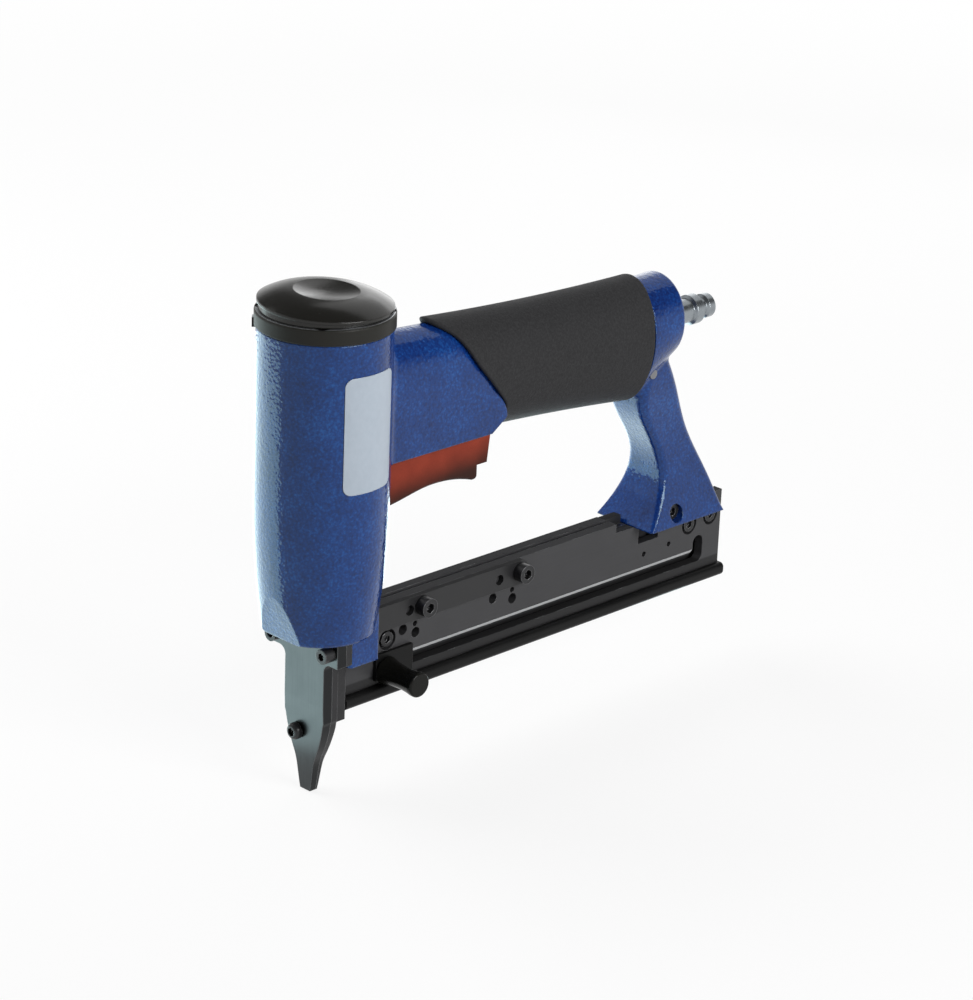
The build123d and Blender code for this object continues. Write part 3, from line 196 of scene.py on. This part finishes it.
def makeEnamel(name, look):
    material, shader, place = startFinish(name)
    soft, wear = edgeWear(place, look["edge"])
    peel = place.noise(look["peel"], 2.0)
    hair = place.stretch(hairScratch["stretch"], hairScratch["turn"]).noise(1.0, 3.0)
    hair = hair.step(hairScratch["from"], hairScratch["to"])
    colour = (wear.step(0.04, 0.3) * 0.5 + hair * hairScratch["strength"]).mix(look["base"], look["dust"])
    bare = facing(place, 2).step(0.8, 0.95) * look["machined"]
    feed(shader, {
        "Base Color": bare.mix(colour, look["bare"]),
        "Metallic": bare,
        "Roughness": (peel - 0.5) * 0.08 + hair * 0.08 + look["roughness"],
        "Specular IOR Level": look["gloss"],
        "Normal": bump(place, peel, look["bump"], 0.0003, soft),
    })
    return material


gripRubber = {
    "base": (0.0155, 0.0155, 0.0165, 1), "rubbed": (0.037, 0.037, 0.039, 1), "grain": 2300, "weave": 1250,
    "smear": 38, "roughness": 0.72, "bump": 0.55, "bumpDepth": 0.00022,
}


def makeGripRubber(look):
    material, shader, place = startFinish("gripRubber")
    pores = place.cells(look["grain"])
    grain = place.noise(look["weave"], 4.0, 0.65)
    smear = place.noise(look["smear"], 3.0, 0.6)
    colour = (grain.step(0.3, 0.75) * 0.6 + (smear - 0.5) * 0.5 + 0.1).mix(look["base"], look["rubbed"])
    feed(shader, {
        "Base Color": colour,
        "Roughness": (smear - 0.5) * 0.2 + look["roughness"],
        "Specular IOR Level": 0.2, "Sheen Weight": 0.02, "Sheen Roughness": 0.5,
        "Normal": bump(place, grain * 0.7 + pores * 0.5, look["bump"], look["bumpDepth"]),
    })
    return material


# the darkest colour and the three values after it paint shade on the trigger's lower part and heel
redAnodised = {
    "base": (0.29, 0.044, 0.022, 1), "dark": (0.20, 0.028, 0.014, 1), "worn": (0.42, 0.11, 0.06, 1),
    "heelShadeTone": (0.030, 0.009, 0.005, 1), "heelShadeTop": 0.0105, "heelShadeBottom": -0.001, "heelShadeLean": 0.11,
    "roughness": 0.4, "grain": 1500, "cloud": 85, "edge": 0.0006,
}


def makeRedAnodised(look, low):
    material, shader, place = startFinish("redAnodised")
    soft, wear = edgeWear(place, look["edge"])
    grain = place.noise(look["grain"], 3.0, 0.6)
    cloud = place.noise(look["cloud"], 2.0)
    colour = (cloud * 0.7 + grain * 0.3).step(0.3, 0.75).mix(look["dark"], look["base"])
    colour = (wear.step(0.05, 0.4) * cloud.step(0.35, 0.6) * 0.6).mix(colour, look["worn"])
    rise = place.part(2) - low[2]  # painted shade: darker low down, more so at the heel, where the rounded side turns from the light
    rise = rise - (place.part(0) - low[0]) * look["heelShadeLean"]
    heelShadeMask = (rise + (cloud - 0.5) * 0.003).step(look["heelShadeTop"], look["heelShadeBottom"])
    feed(shader, {
        "Base Color": heelShadeMask.mix(colour, look["heelShadeTone"]),
        "Roughness": grain * 0.15 + look["roughness"] - 0.07,
        "Specular IOR Level": 0.12,
        "Normal": bump(place, grain, 0.12, 0.00015, soft),
    })
    return material


def makeSteel(name, look):  # ground steel; grain runs along the given stretch
    material, shader, place = startFinish(name)
    soft, wear = edgeWear(place, look["edge"])
    lines = place.stretch(look["stretch"]).noise(1.0, 3.0, 0.6)
    cloud = place.noise(look["cloud"], 3.0, 0.6)
    colour = ((lines - 0.5) * 0.7 + (cloud - 0.5) * 0.9 + 0.5).mix(look["dark"], look["base"])
    if "sides" in look:  # faces that don't look forward along -X take the darker sides colour
        colour = facing(place, 0).step(-0.6, -0.85).mix(look["sides"], colour)
    colour = (wear.step(0.04, 0.35) * look["wear"]).mix(colour, look["bright"])
    feed(shader, {
        "Base Color": colour,
        "Metallic": look["metallic"],
        "Roughness": lines * 0.16 + (cloud - 0.5) * 0.12 + look["roughness"] - 0.08,
        "Normal": bump(place, lines, look["bump"], 0.0001, soft),
    })
    return material


steelLooks = {
    "noseSteel": {
        "base": (0.076, 0.082, 0.085, 1), "dark": (0.046, 0.051, 0.053, 1), "bright": (0.34, 0.35, 0.36, 1),
        "sides": (0.026, 0.027, 0.028, 1), "metallic": 1.0, "roughness": 0.32, "stretch": (1500, 1500, 60),
        "cloud": 110, "wear": 0.5, "bump": 0.10, "edge": 0.0005,
    },
    "blackOxide": {
        "base": (0.030, 0.030, 0.032, 1), "dark": (0.014, 0.014, 0.015, 1), "bright": (0.30, 0.30, 0.31, 1),
        "metallic": 0.5, "roughness": 0.36, "stretch": (900, 900, 700),
        "cloud": 260, "wear": 0.7, "bump": 0.10, "edge": 0.0005,
    },
    "plainSteel": {
        "base": (0.27, 0.28, 0.29, 1), "dark": (0.19, 0.19, 0.20, 1), "bright": (0.5, 0.5, 0.5, 1),
        "metallic": 1.0, "roughness": 0.34, "stretch": (200, 2200, 2200),
        "cloud": 300, "wear": 0.3, "bump": 0.08, "edge": 0.0003,
    },
    "plugChrome": {
        "base": (0.32, 0.35, 0.37, 1), "dark": (0.25, 0.27, 0.29, 1), "bright": (0.6, 0.6, 0.6, 1),
        "metallic": 1.0, "roughness": 0.28, "stretch": (2400, 300, 300),
        "cloud": 200, "wear": 0.2, "bump": 0.03, "edge": 0.0003,
    },
    "bareAluminium": {
        "base": (0.62, 0.62, 0.63, 1), "dark": (0.48, 0.48, 0.49, 1), "bright": (0.8, 0.8, 0.8, 1),
        "metallic": 1.0, "roughness": 0.34, "stretch": (300, 300, 2600),
        "cloud": 180, "wear": 0.3, "bump": 0.06, "edge": 0.0003,
    },
}

blackShared = {
    "rolled": (45, 1900, 1900), "cloud": 55, "scuff": 140,
    # painted shade on the lip under the slot
    "lipShadeTone": (0.004, 0.004, 0.004, 1), "lipShadeShare": 0.75, "lipShadeEdge": (0.0006, -0.0002),
    # painted shade on the plates' tops
    "topShadeTone": (0.006, 0.006, 0.006, 1), "topShadeShare": 0.5,
}
blackLooks = {  # the magazine's pieces, each blacked a little differently
    "plateBlack": {
        "base": (0.056, 0.056, 0.059, 1), "dark": (0.038, 0.038, 0.040, 1), "bare": (0.62, 0.63, 0.64, 1),
        "roughness": 0.36, "grain": 1700, "edge": 0.00035, "gloss": 0.2,
        "lip": 0.0355, "bevel": 1.0, "roughShadedTop": 1.0,
    },
    "padBlack": {
        "base": (0.022, 0.022, 0.023, 1), "dark": (0.014, 0.014, 0.015, 1), "bare": (0.30, 0.30, 0.31, 1),
        "roughness": 0.4, "grain": 1900, "edge": 0.0003, "gloss": 0.3,
        "lip": 0.0, "bevel": 0.0, "roughShadedTop": 1.0,
    },
    "railBlack": {
        "base": (0.008, 0.008, 0.008, 1), "dark": (0.005, 0.005, 0.005, 1), "bare": (0.16, 0.16, 0.16, 1),
        "roughness": 0.34, "grain": 1500, "edge": 0.0003, "gloss": 0.12,
        "lip": 0.0, "bevel": 0.0, "roughShadedTop": 0.0,
    },
}


def makeBlack(name, look):
    material, shader, place = startFinish(name)
    soft, wear = edgeWear(place, look["edge"])
    lines = place.stretch(blackShared["rolled"]).noise(1.0, 3.0, 0.6)
    grain = place.noise(look["grain"], 2.0)
    cloud = place.noise(blackShared["cloud"], 3.0, 0.6)
    colour = ((lines - 0.5) * 0.5 + (cloud - 0.5) * 0.8 + 0.5).mix(look["dark"], look["base"])
    shadeStart, shadeFull = (look["lip"] + offset for offset in blackShared["lipShadeEdge"])
    lipShadeMask = place.part(2).step(shadeStart, shadeFull) * blackShared["lipShadeShare"]  # painted shade: the lip under the slot is darkened
    colour = lipShadeMask.mix(colour, blackShared["lipShadeTone"])
    roughShadedTop = facing(place, 2).step(0.6, 0.95) * look["roughShadedTop"]  # rough tops of the plates, darkened with painted shade
    colour = (roughShadedTop * blackShared["topShadeShare"]).mix(colour, blackShared["topShadeTone"])
    worn = wear.step(0.06, 0.35) * place.noise(blackShared["scuff"], 3.0).step(0.42, 0.68) * 0.5
    under = facing(place, 1).step(-0.3, -0.5) * facing(place, 2).step(-0.3, -0.5)
    bevel = under * look["bevel"]  # painted highlight: the down-facing bevel along the slot is pale
    colour = worn.maths("MAXIMUM", worn, bevel).mix(colour, look["bare"])
    feed(shader, {
        "Base Color": colour,
        "Metallic": worn,
        "Roughness": lines * 0.12 + cloud * 0.12 + roughShadedTop * 0.5 + look["roughness"] - 0.12,
        "Specular IOR Level": look["gloss"],
        "Normal": bump(place, lines * 0.5 + grain * 0.5, 0.07, 0.00012, soft),
    })
    return material


plainShared = {"edgeRadius": 0.0003, "cloud": 90}


def makePlain(name, look):  # moulded plastic, rubber rings and fibre
    material, shader, place = startFinish(name)
    soft, wear = edgeWear(place, plainShared["edgeRadius"])
    grain = place.noise(look["grain"], 3.0, 0.6)
    cloud = place.noise(plainShared["cloud"], 2.0)
    colour = (grain * 0.6 + cloud * 0.4).step(0.25, 0.75).mix(look["dark"], look["base"])
    feed(shader, {
        "Base Color": (wear.step(0.05, 0.4) * 0.3).mix(colour, look["edge"]),
        "Roughness": grain * 0.16 + look["roughness"] - 0.08,
        "Normal": bump(place, grain, 0.15, 0.0001, soft),
    })
    return material


plainLooks = {
    "valvePlastic": {
        "base": (0.72, 0.71, 0.67, 1), "dark": (0.6, 0.59, 0.55, 1), "edge": (0.8, 0.8, 0.78, 1),
        "grain": 1400, "roughness": 0.5,
    },
    "ringRubber": {
        "base": (0.03, 0.03, 0.032, 1), "dark": (0.018, 0.018, 0.02, 1), "edge": (0.06, 0.06, 0.06, 1),
        "grain": 1800, "roughness": 0.7,
    },
    "gasketFibre": {
        "base": (0.034, 0.042, 0.056, 1), "dark": (0.024, 0.028, 0.038, 1), "edge": (0.06, 0.06, 0.06, 1),
        "grain": 1600, "roughness": 0.75,
    },
    "labelFilm": {
        "base": (0.43, 0.49, 0.56, 1), "dark": (0.39, 0.45, 0.52, 1), "edge": (0.62, 0.66, 0.71, 1),
        "grain": 500, "roughness": 0.34,
    },
}

finishes = {name: makeSteel(name, look) for name, look in steelLooks.items()}
finishes.update({name: makePlain(name, look) for name, look in plainLooks.items()})
finishes["hammerPaint"] = makeHammerPaint(hammerPaint)
finishes.update({name: makeEnamel(name, look) for name, look in enamelLooks.items()})
finishes["gripRubber"] = makeGripRubber(gripRubber)
finishes["redAnodised"] = makeRedAnodised(redAnodised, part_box("trigger")[0])
finishes.update({name: makeBlack(name, look) for name, look in blackLooks.items()})
print("finishes made:", len(finishes))

slotFinish = {  # the record's slots and what they look like
    "blue_paint": "hammerPaint", "black_enamel": "capEnamel", "gasket_board": "gasketFibre",
    "soft_rubber": "ringRubber", "red_anodised": "redAnodised", "nose_steel": "noseSteel",
    "dark_steel": "blackOxide", "black_anodised": "plateBlack", "plain_steel": "plainSteel",
    "plug_chrome": "plugChrome", "bare_aluminium": "bareAluminium", "valve_plastic": "valvePlastic",
}
nodeFinish = {  # nodes that look unlike the rest of their slot
    "exhaust_deflector": "coverEnamel", "pusher_knob": "knobEnamel", "pusher_slider": "railBlack",
    "magazine_rail": "railBlack", "magazine_side_pad": "padBlack",
}


def dress(piece, finish):
    piece.data.materials.clear()
    piece.data.materials.append(finishes[finish])


for entry in frame["record"]["subparts"]:
    name = entry["node"]
    dress(nodes[name], nodeFinish.get(name, slotFinish[entry["material_slot"]]))
print("solids dressed")


def newPiece(name, bm, body, finish, smoothAngle=40):
    mesh = bpy.data.meshes.new(name)
    bm.to_mesh(mesh)
    bm.free()
    mesh.shade_smooth()
    mesh.set_sharp_from_angle(angle=math.radians(smoothAngle))
    piece = bpy.data.objects.new(name, mesh)
    bpy.context.scene.collection.objects.link(piece)
    dress(piece, finish)
    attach(piece, body)
    return piece


gripSleeve = {
    "axisPoint": (79.5, 132.9), "tilt": 3.5, "rearX": 145.2, "wall": 1.7, "edge": 0.7,
    "stations": ((46.0, 14.5, 21.25), (95.6, 14.2, 20.95), (145.2, 14.4, 22.8)),  # X, half width, height
    "frontEdge": ((-30, 75.5), (-15.9, 75.5), (-9.9, 74.5), (-3.9, 69.5),  # height over the axis, X
                  (7.1, 60.5), (18.1, 53.5), (24.1, 46.0), (30, 39)),
    "round": 112, "along": 56, "edgeSteps": 4, "edgeAngle": 50, "smoothAngle": 60,
}


def between(table, value, column):  # smooth line through a table's points
    for i in range(len(table) - 1):
        if value <= table[i + 1][0] or i == len(table) - 2:
            break
    low, high = table[i], table[i + 1]
    before, after = table[max(i - 1, 0)], table[min(i + 2, len(table) - 1)]
    span = high[0] - low[0]
    share = min(max((value - low[0]) / span, 0), 1)
    slopeLow = (high[column] - before[column]) / (high[0] - before[0]) * span
    slopeHigh = (after[column] - low[column]) / (after[0] - low[0]) * span
    cube, square = share ** 3, share ** 2
    return ((2 * cube - 3 * square + 1) * low[column] + (cube - 2 * square + share) * slopeLow
            + (3 * square - 2 * cube) * high[column] + (cube - square) * slopeHigh)


def curveThrough(stations, value, column):  # one parabola through three stations
    total = 0
    for i, station in enumerate(stations):
        term = station[column]
        for j, other in enumerate(stations):
            if i != j:
                term *= (value - other[0]) / (station[0] - other[0])
        total += term
    return total


def buildGripSleeve(form):
    tilt = math.radians(form["tilt"])
    axisX, axisZ = form["axisPoint"]
    bm = bmesh.new()
    bmesh.ops.create_cone(bm, segments=form["round"], radius1=1, radius2=1, depth=1)
    long = [edge for edge in bm.edges if abs(edge.verts[0].co.z - edge.verts[1].co.z) > 0.5]
    bmesh.ops.subdivide_edges(bm, edges=long, cuts=form["along"], use_grid_fill=True)
    for vert in bm.verts:  # the straight unit tube takes the shape of the sleeve
        ux, uy, share = vert.co.x, vert.co.y, vert.co.z + 0.5
        frontX = axisX
        for _ in range(4):  # front edge: X depends on the height, which depends on X
            rise = uy * curveThrough(form["stations"], frontX, 2)
            level = rise * math.cos(tilt) - math.tan(tilt) * (frontX - axisX)
            frontX = between(form["frontEdge"], level, 1)
        x = frontX + share * (form["rearX"] - frontX)
        half = curveThrough(form["stations"], x, 1)
        rise = uy * curveThrough(form["stations"], x, 2)
        lean = share * math.sin(tilt)  # the rear end stands square to the handle
        z = axisZ - math.tan(tilt) * (x - axisX) + rise * math.cos(tilt)
        vert.co = Vector((x + rise * lean, ux * half, z)) * mm
    bmesh.ops.recalc_face_normals(bm, faces=bm.faces)
    piece = newPiece("gripSleeve", bm, "frame", "gripRubber", form["smoothAngle"])
    wall = piece.modifiers.new("wall", "SOLIDIFY")
    wall.thickness = form["wall"] * mm
    wall.offset = -1
    edge = piece.modifiers.new("edge", "BEVEL")
    edge.width = form["edge"] * mm
    edge.segments = form["edgeSteps"]
    edge.limit_method = "ANGLE"
    edge.angle_limit = math.radians(form["edgeAngle"])
    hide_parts("grip_sleeve")
    print("grip sleeve made")


label = {
    "lift": 0.02, "angle": -87.5, "width": 21.5, "height": 39.6, "middle": 132.0,
    "corner": 3.0, "cornerSteps": 10, "thick": 0.22, "slices": 24, "smoothAngle": 50,
}


def buildLabel(form):
    low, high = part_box("housing")  # the barrel is its widest and foremost part
    barrelRadius = high[1] / mm
    axisX = low[0] / mm + barrelRadius
    radius = barrelRadius + form["lift"]
    bm = bmesh.new()
    bmesh.ops.create_grid(bm, x_segments=1, y_segments=1, size=0.5)
    bmesh.ops.scale(bm, vec=(form["width"], form["height"], 1), verts=bm.verts)
    bmesh.ops.bevel(bm, geom=bm.verts[:], offset=form["corner"], affect="VERTICES",
                    segments=form["cornerSteps"], profile=0.5, material=-1)
    for i in range(1, form["slices"]):  # narrow strips, so that it can bend
        cut = (i / form["slices"] - 0.5) * form["width"]
        bmesh.ops.bisect_plane(bm, geom=bm.verts[:] + bm.edges[:] + bm.faces[:], plane_co=(cut, 0, 0),
                               plane_no=(1, 0, 0))
    rim = bmesh.ops.extrude_face_region(bm, geom=bm.faces[:])
    outer = [item for item in rim["geom"] if isinstance(item, bmesh.types.BMVert)]
    bmesh.ops.translate(bm, vec=(0, 0, form["thick"]), verts=outer)
    for vert in bm.verts:  # wrapped round the barrel
        turn = math.radians(form["angle"]) + vert.co.x / radius
        out = radius + vert.co.z
        x = axisX + out * math.cos(turn)
        vert.co = Vector((x, out * math.sin(turn), form["middle"] + vert.co.y)) * mm
    bmesh.ops.recalc_face_normals(bm, faces=bm.faces)
    newPiece("label", bm, "frame", "labelFilm", form["smoothAngle"])
    print("label made")


plugWasher = {
    "frontPlay": 0.01, "rearPlay": 0.02, "inner": 4.7, "outer": 6.2, "edge": 0.22, "steps": 64, "weld": 0.01,
}


def buildPlugWasher(form):
    low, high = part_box("plug_seal")
    x0, x1 = low[0] / mm + form["frontPlay"], high[0] / mm - form["rearPlay"]
    axisZ = (low[2] + high[2]) / 2
    inner, outer = form["inner"], form["outer"]
    corners = [(x0, inner), (x1, inner), (x1, outer), (x0, outer)]
    bm = bmesh.new()
    section = [bm.verts.new(Vector((x, 0, r)) * mm) for x, r in corners]
    face = bm.faces.new(section)
    bmesh.ops.bevel(bm, geom=face.verts[:], offset=form["edge"] * mm, affect="VERTICES", segments=3,
                    profile=0.5, material=-1)
    bmesh.ops.spin(bm, geom=bm.verts[:] + bm.edges[:] + bm.faces[:], cent=(0, 0, 0), axis=(1, 0, 0),
                   dvec=(0, 0, 0), angle=math.tau, steps=form["steps"], use_merge=True)
    bmesh.ops.remove_doubles(bm, verts=bm.verts[:], dist=form["weld"] * mm)
    inside = [f for f in bm.faces if len(f.verts) > 4]
    bmesh.ops.delete(bm, geom=inside, context="FACES_ONLY")
    bmesh.ops.translate(bm, vec=(0, 0, axisZ), verts=bm.verts)
    bmesh.ops.recalc_face_normals(bm, faces=bm.faces)
    piece = newPiece("plugWasher", bm, "frame", "ringRubber")
    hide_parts("plug_seal")
    print("plug washer made")


saddlePacking = {"x0": 140.7, "x1": 149.3, "play": 0.05, "sunk": 0.1, "edge": 0.3}


def buildSaddlePacking(form):  # fills the far plate's cut ahead of the leg's foot
    plateLow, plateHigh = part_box("magazine_right_plate")
    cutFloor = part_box("rear_bracket")[0][2]
    play = form["play"] * mm
    low = Vector((form["x0"] * mm, plateLow[1] + play, cutFloor + play))
    high = Vector((form["x1"] * mm, plateHigh[1] - play, plateHigh[2] - form["sunk"] * mm))
    bm = bmesh.new()
    bmesh.ops.create_cube(bm, size=1)
    bmesh.ops.scale(bm, vec=high - low, verts=bm.verts)
    bmesh.ops.translate(bm, vec=(low + high) / 2, verts=bm.verts)
    bmesh.ops.bevel(bm, geom=bm.edges[:], offset=form["edge"] * mm, affect="EDGES", segments=3,
                    profile=0.5, material=-1)
    newPiece("saddlePacking", bm, "frame", "padBlack")
    print("saddle packing made")


buildGripSleeve(gripSleeve)
buildLabel(label)
buildSaddlePacking(saddlePacking)
buildPlugWasher(plugWasher)

studio = {
    "floor": 3.0, "floorDrop": 0.0003, "floorColour": (0.85, 0.85, 0.85, 1), "floorRoughness": 0.6,
    "bounce": (0.36, 0.36, 0.36, 1), "white": 0.84, "shadowReach": (0.3, 1.3),  # keeps the shadow up close
    "backdrop": 1.0, "ceiling": 0.14, "backdropTop": (0.10, 0.42),  # pale wall all round, dim above it
    "fill": 0.35,  # share of the backdrop that lights the object
    "cameraPlace": (-0.7275, -0.7943, 0.5218), "lens": 127.912, "sensor": 36, "clip": (0.01, 20),
    "right": (0.71122, -0.70200, 0.03707), "up": (0.22895, 0.28117, 0.93195),
    "back": (-0.66465, -0.65433, 0.36069),
}
lamps = {  # place, target, width, height, watts, colour
    "keyLamp": ((0.12, -0.97, 0.52), (0.08, 0, 0.1), 0.6, 0.5, 9.8, (1, 1, 1)),
    "leftLamp": ((-0.16, 0.76, 0.67), (0.12, 0, 0.08), 0.8, 0.7, 9.0, (1, 1, 1)),
    "sheenLamp": ((-0.34, 0.66, 0.60), (0.12, 0, 0.08), 0.8, 0.7, 1.1, (1, 1, 1)),
    "rightLamp": ((0.82, 0.22, 0.78), (0.08, 0, 0.12), 0.9, 0.7, 1.5, (1, 1, 1)),
    "sideLamp": ((0.75, 0.40, 0.30), (0.05, 0, 0.12), 0.5, 0.45, 0.8, (1, 1, 1)),
    "frontPanel": ((-0.086, 0.314, 0.001), (-0.086, 0.314, 1), 0.43, 0.49, 1.65, (0.70, 0.96, 0.97)),
    "edgePanel": ((0.225, 0.315, 0.001), (0.225, 0.315, 1), 0.21, 0.17, 0.22, (0.74, 0.96, 1)),
    "rearPanel": ((0.165, 0.121, 0.001), (0.165, 0.121, 1), 0.20, 0.18, 0.29, (0.74, 0.96, 1)),
}
lampTurn = {"frontPanel": 147, "edgePanel": 147, "rearPanel": 147}  # floor panels, one edge at the barrel
unmirrored = {"leftLamp"}  # lights the far side, not seen in the paint


def seenBy(wire):  # 1 where the camera, a reflection or glass looks at it
    path = wire.tree.nodes.new("ShaderNodeLightPath")
    seen = Wire(wire.tree, path.outputs["Is Camera Ray"])
    for ray in ("Is Glossy Ray", "Is Transmission Ray"):
        seen = seen.maths("MAXIMUM", seen, Wire(wire.tree, path.outputs[ray]))
    return seen


def buildStudio(room):
    bm = bmesh.new()
    bmesh.ops.create_grid(bm, x_segments=1, y_segments=1, size=room["floor"])
    bmesh.ops.translate(bm, vec=(0, 0, -room["floorDrop"]), verts=bm.verts)
    mesh = bpy.data.meshes.new("floor")
    bm.to_mesh(mesh)
    bm.free()
    floor = bpy.data.objects.new("floor", mesh)
    bpy.context.scene.collection.objects.link(floor)
    material, shader, place = startFinish("paleFloor")
    seen = seenBy(place)
    colour = seen.mix(room["bounce"], room["floorColour"])
    feed(shader, {"Base Color": colour, "Roughness": room["floorRoughness"]})
    glow = place.node("ShaderNodeEmission", None, {"Color": (1, 1, 1, 1), "Strength": 1.0})
    plain = Wire(place.tree, shader.outputs[0])
    away = place.node("ShaderNodeVectorMath", {"operation": "LENGTH"}, {0: place}, 1)
    share = away.step(*room["shadowReach"]) * (1 - room["white"]) + room["white"]
    surface = place.node("ShaderNodeMixShader", None, {0: seen * share, 1: plain, 2: glow})
    place.tree.links.new(surface.socket, place.tree.nodes["Material Output"].inputs["Surface"])
    floor.data.materials.append(material)

    world = bpy.data.worlds.new("studio")
    bpy.context.scene.world = world
    world.use_nodes = True
    tree = world.node_tree
    aim = Wire(tree).node("ShaderNodeTexCoord", output="Generated")
    height = aim.node("ShaderNodeSeparateXYZ", None, {0: aim}, 2)
    level = height.step(*room["backdropTop"]) * (room["ceiling"] - room["backdrop"]) + room["backdrop"]
    level = level * (seenBy(aim) * (1 - room["fill"]) + room["fill"])
    tree.links.new(level.socket, tree.nodes["Background"].inputs["Strength"])
    tree.nodes["Background"].inputs["Color"].default_value = (1, 1, 1, 1)


def buildLamps(table):
    for name, (spot, target, width, height, watts, colour) in table.items():
        data = bpy.data.lights.new(name, "AREA")
        data.shape = "RECTANGLE"
        data.size, data.size_y, data.energy, data.color = width, height, watts, colour
        lamp = bpy.data.objects.new(name, data)
        lamp.visible_camera = False
        lamp.visible_glossy = name not in unmirrored
        lamp.location = spot
        aim = (Vector(target) - Vector(spot)).to_track_quat("-Z", "Y").to_matrix()
        turn = Matrix.Rotation(math.radians(lampTurn.get(name, 0)), 3, "Z")
        lamp.rotation_euler = (turn @ aim).to_euler()
        bpy.context.scene.collection.objects.link(lamp)


def buildCamera(room):
    data = bpy.data.cameras.new("camera")
    data.lens = room["lens"]
    data.sensor_width = room["sensor"]
    data.clip_start, data.clip_end = room["clip"]
    camera = bpy.data.objects.new("camera", data)
    axes = Matrix((room["right"], room["up"], room["back"])).transposed()
    camera.matrix_world = Matrix.Translation(room["cameraPlace"]) @ axes.to_4x4()
    bpy.context.scene.collection.objects.link(camera)
    bpy.context.scene.camera = camera


buildStudio(studio)
buildLamps(lamps)
buildCamera(studio)
bpy.context.scene.view_settings.view_transform = "Standard"
print("studio ready")
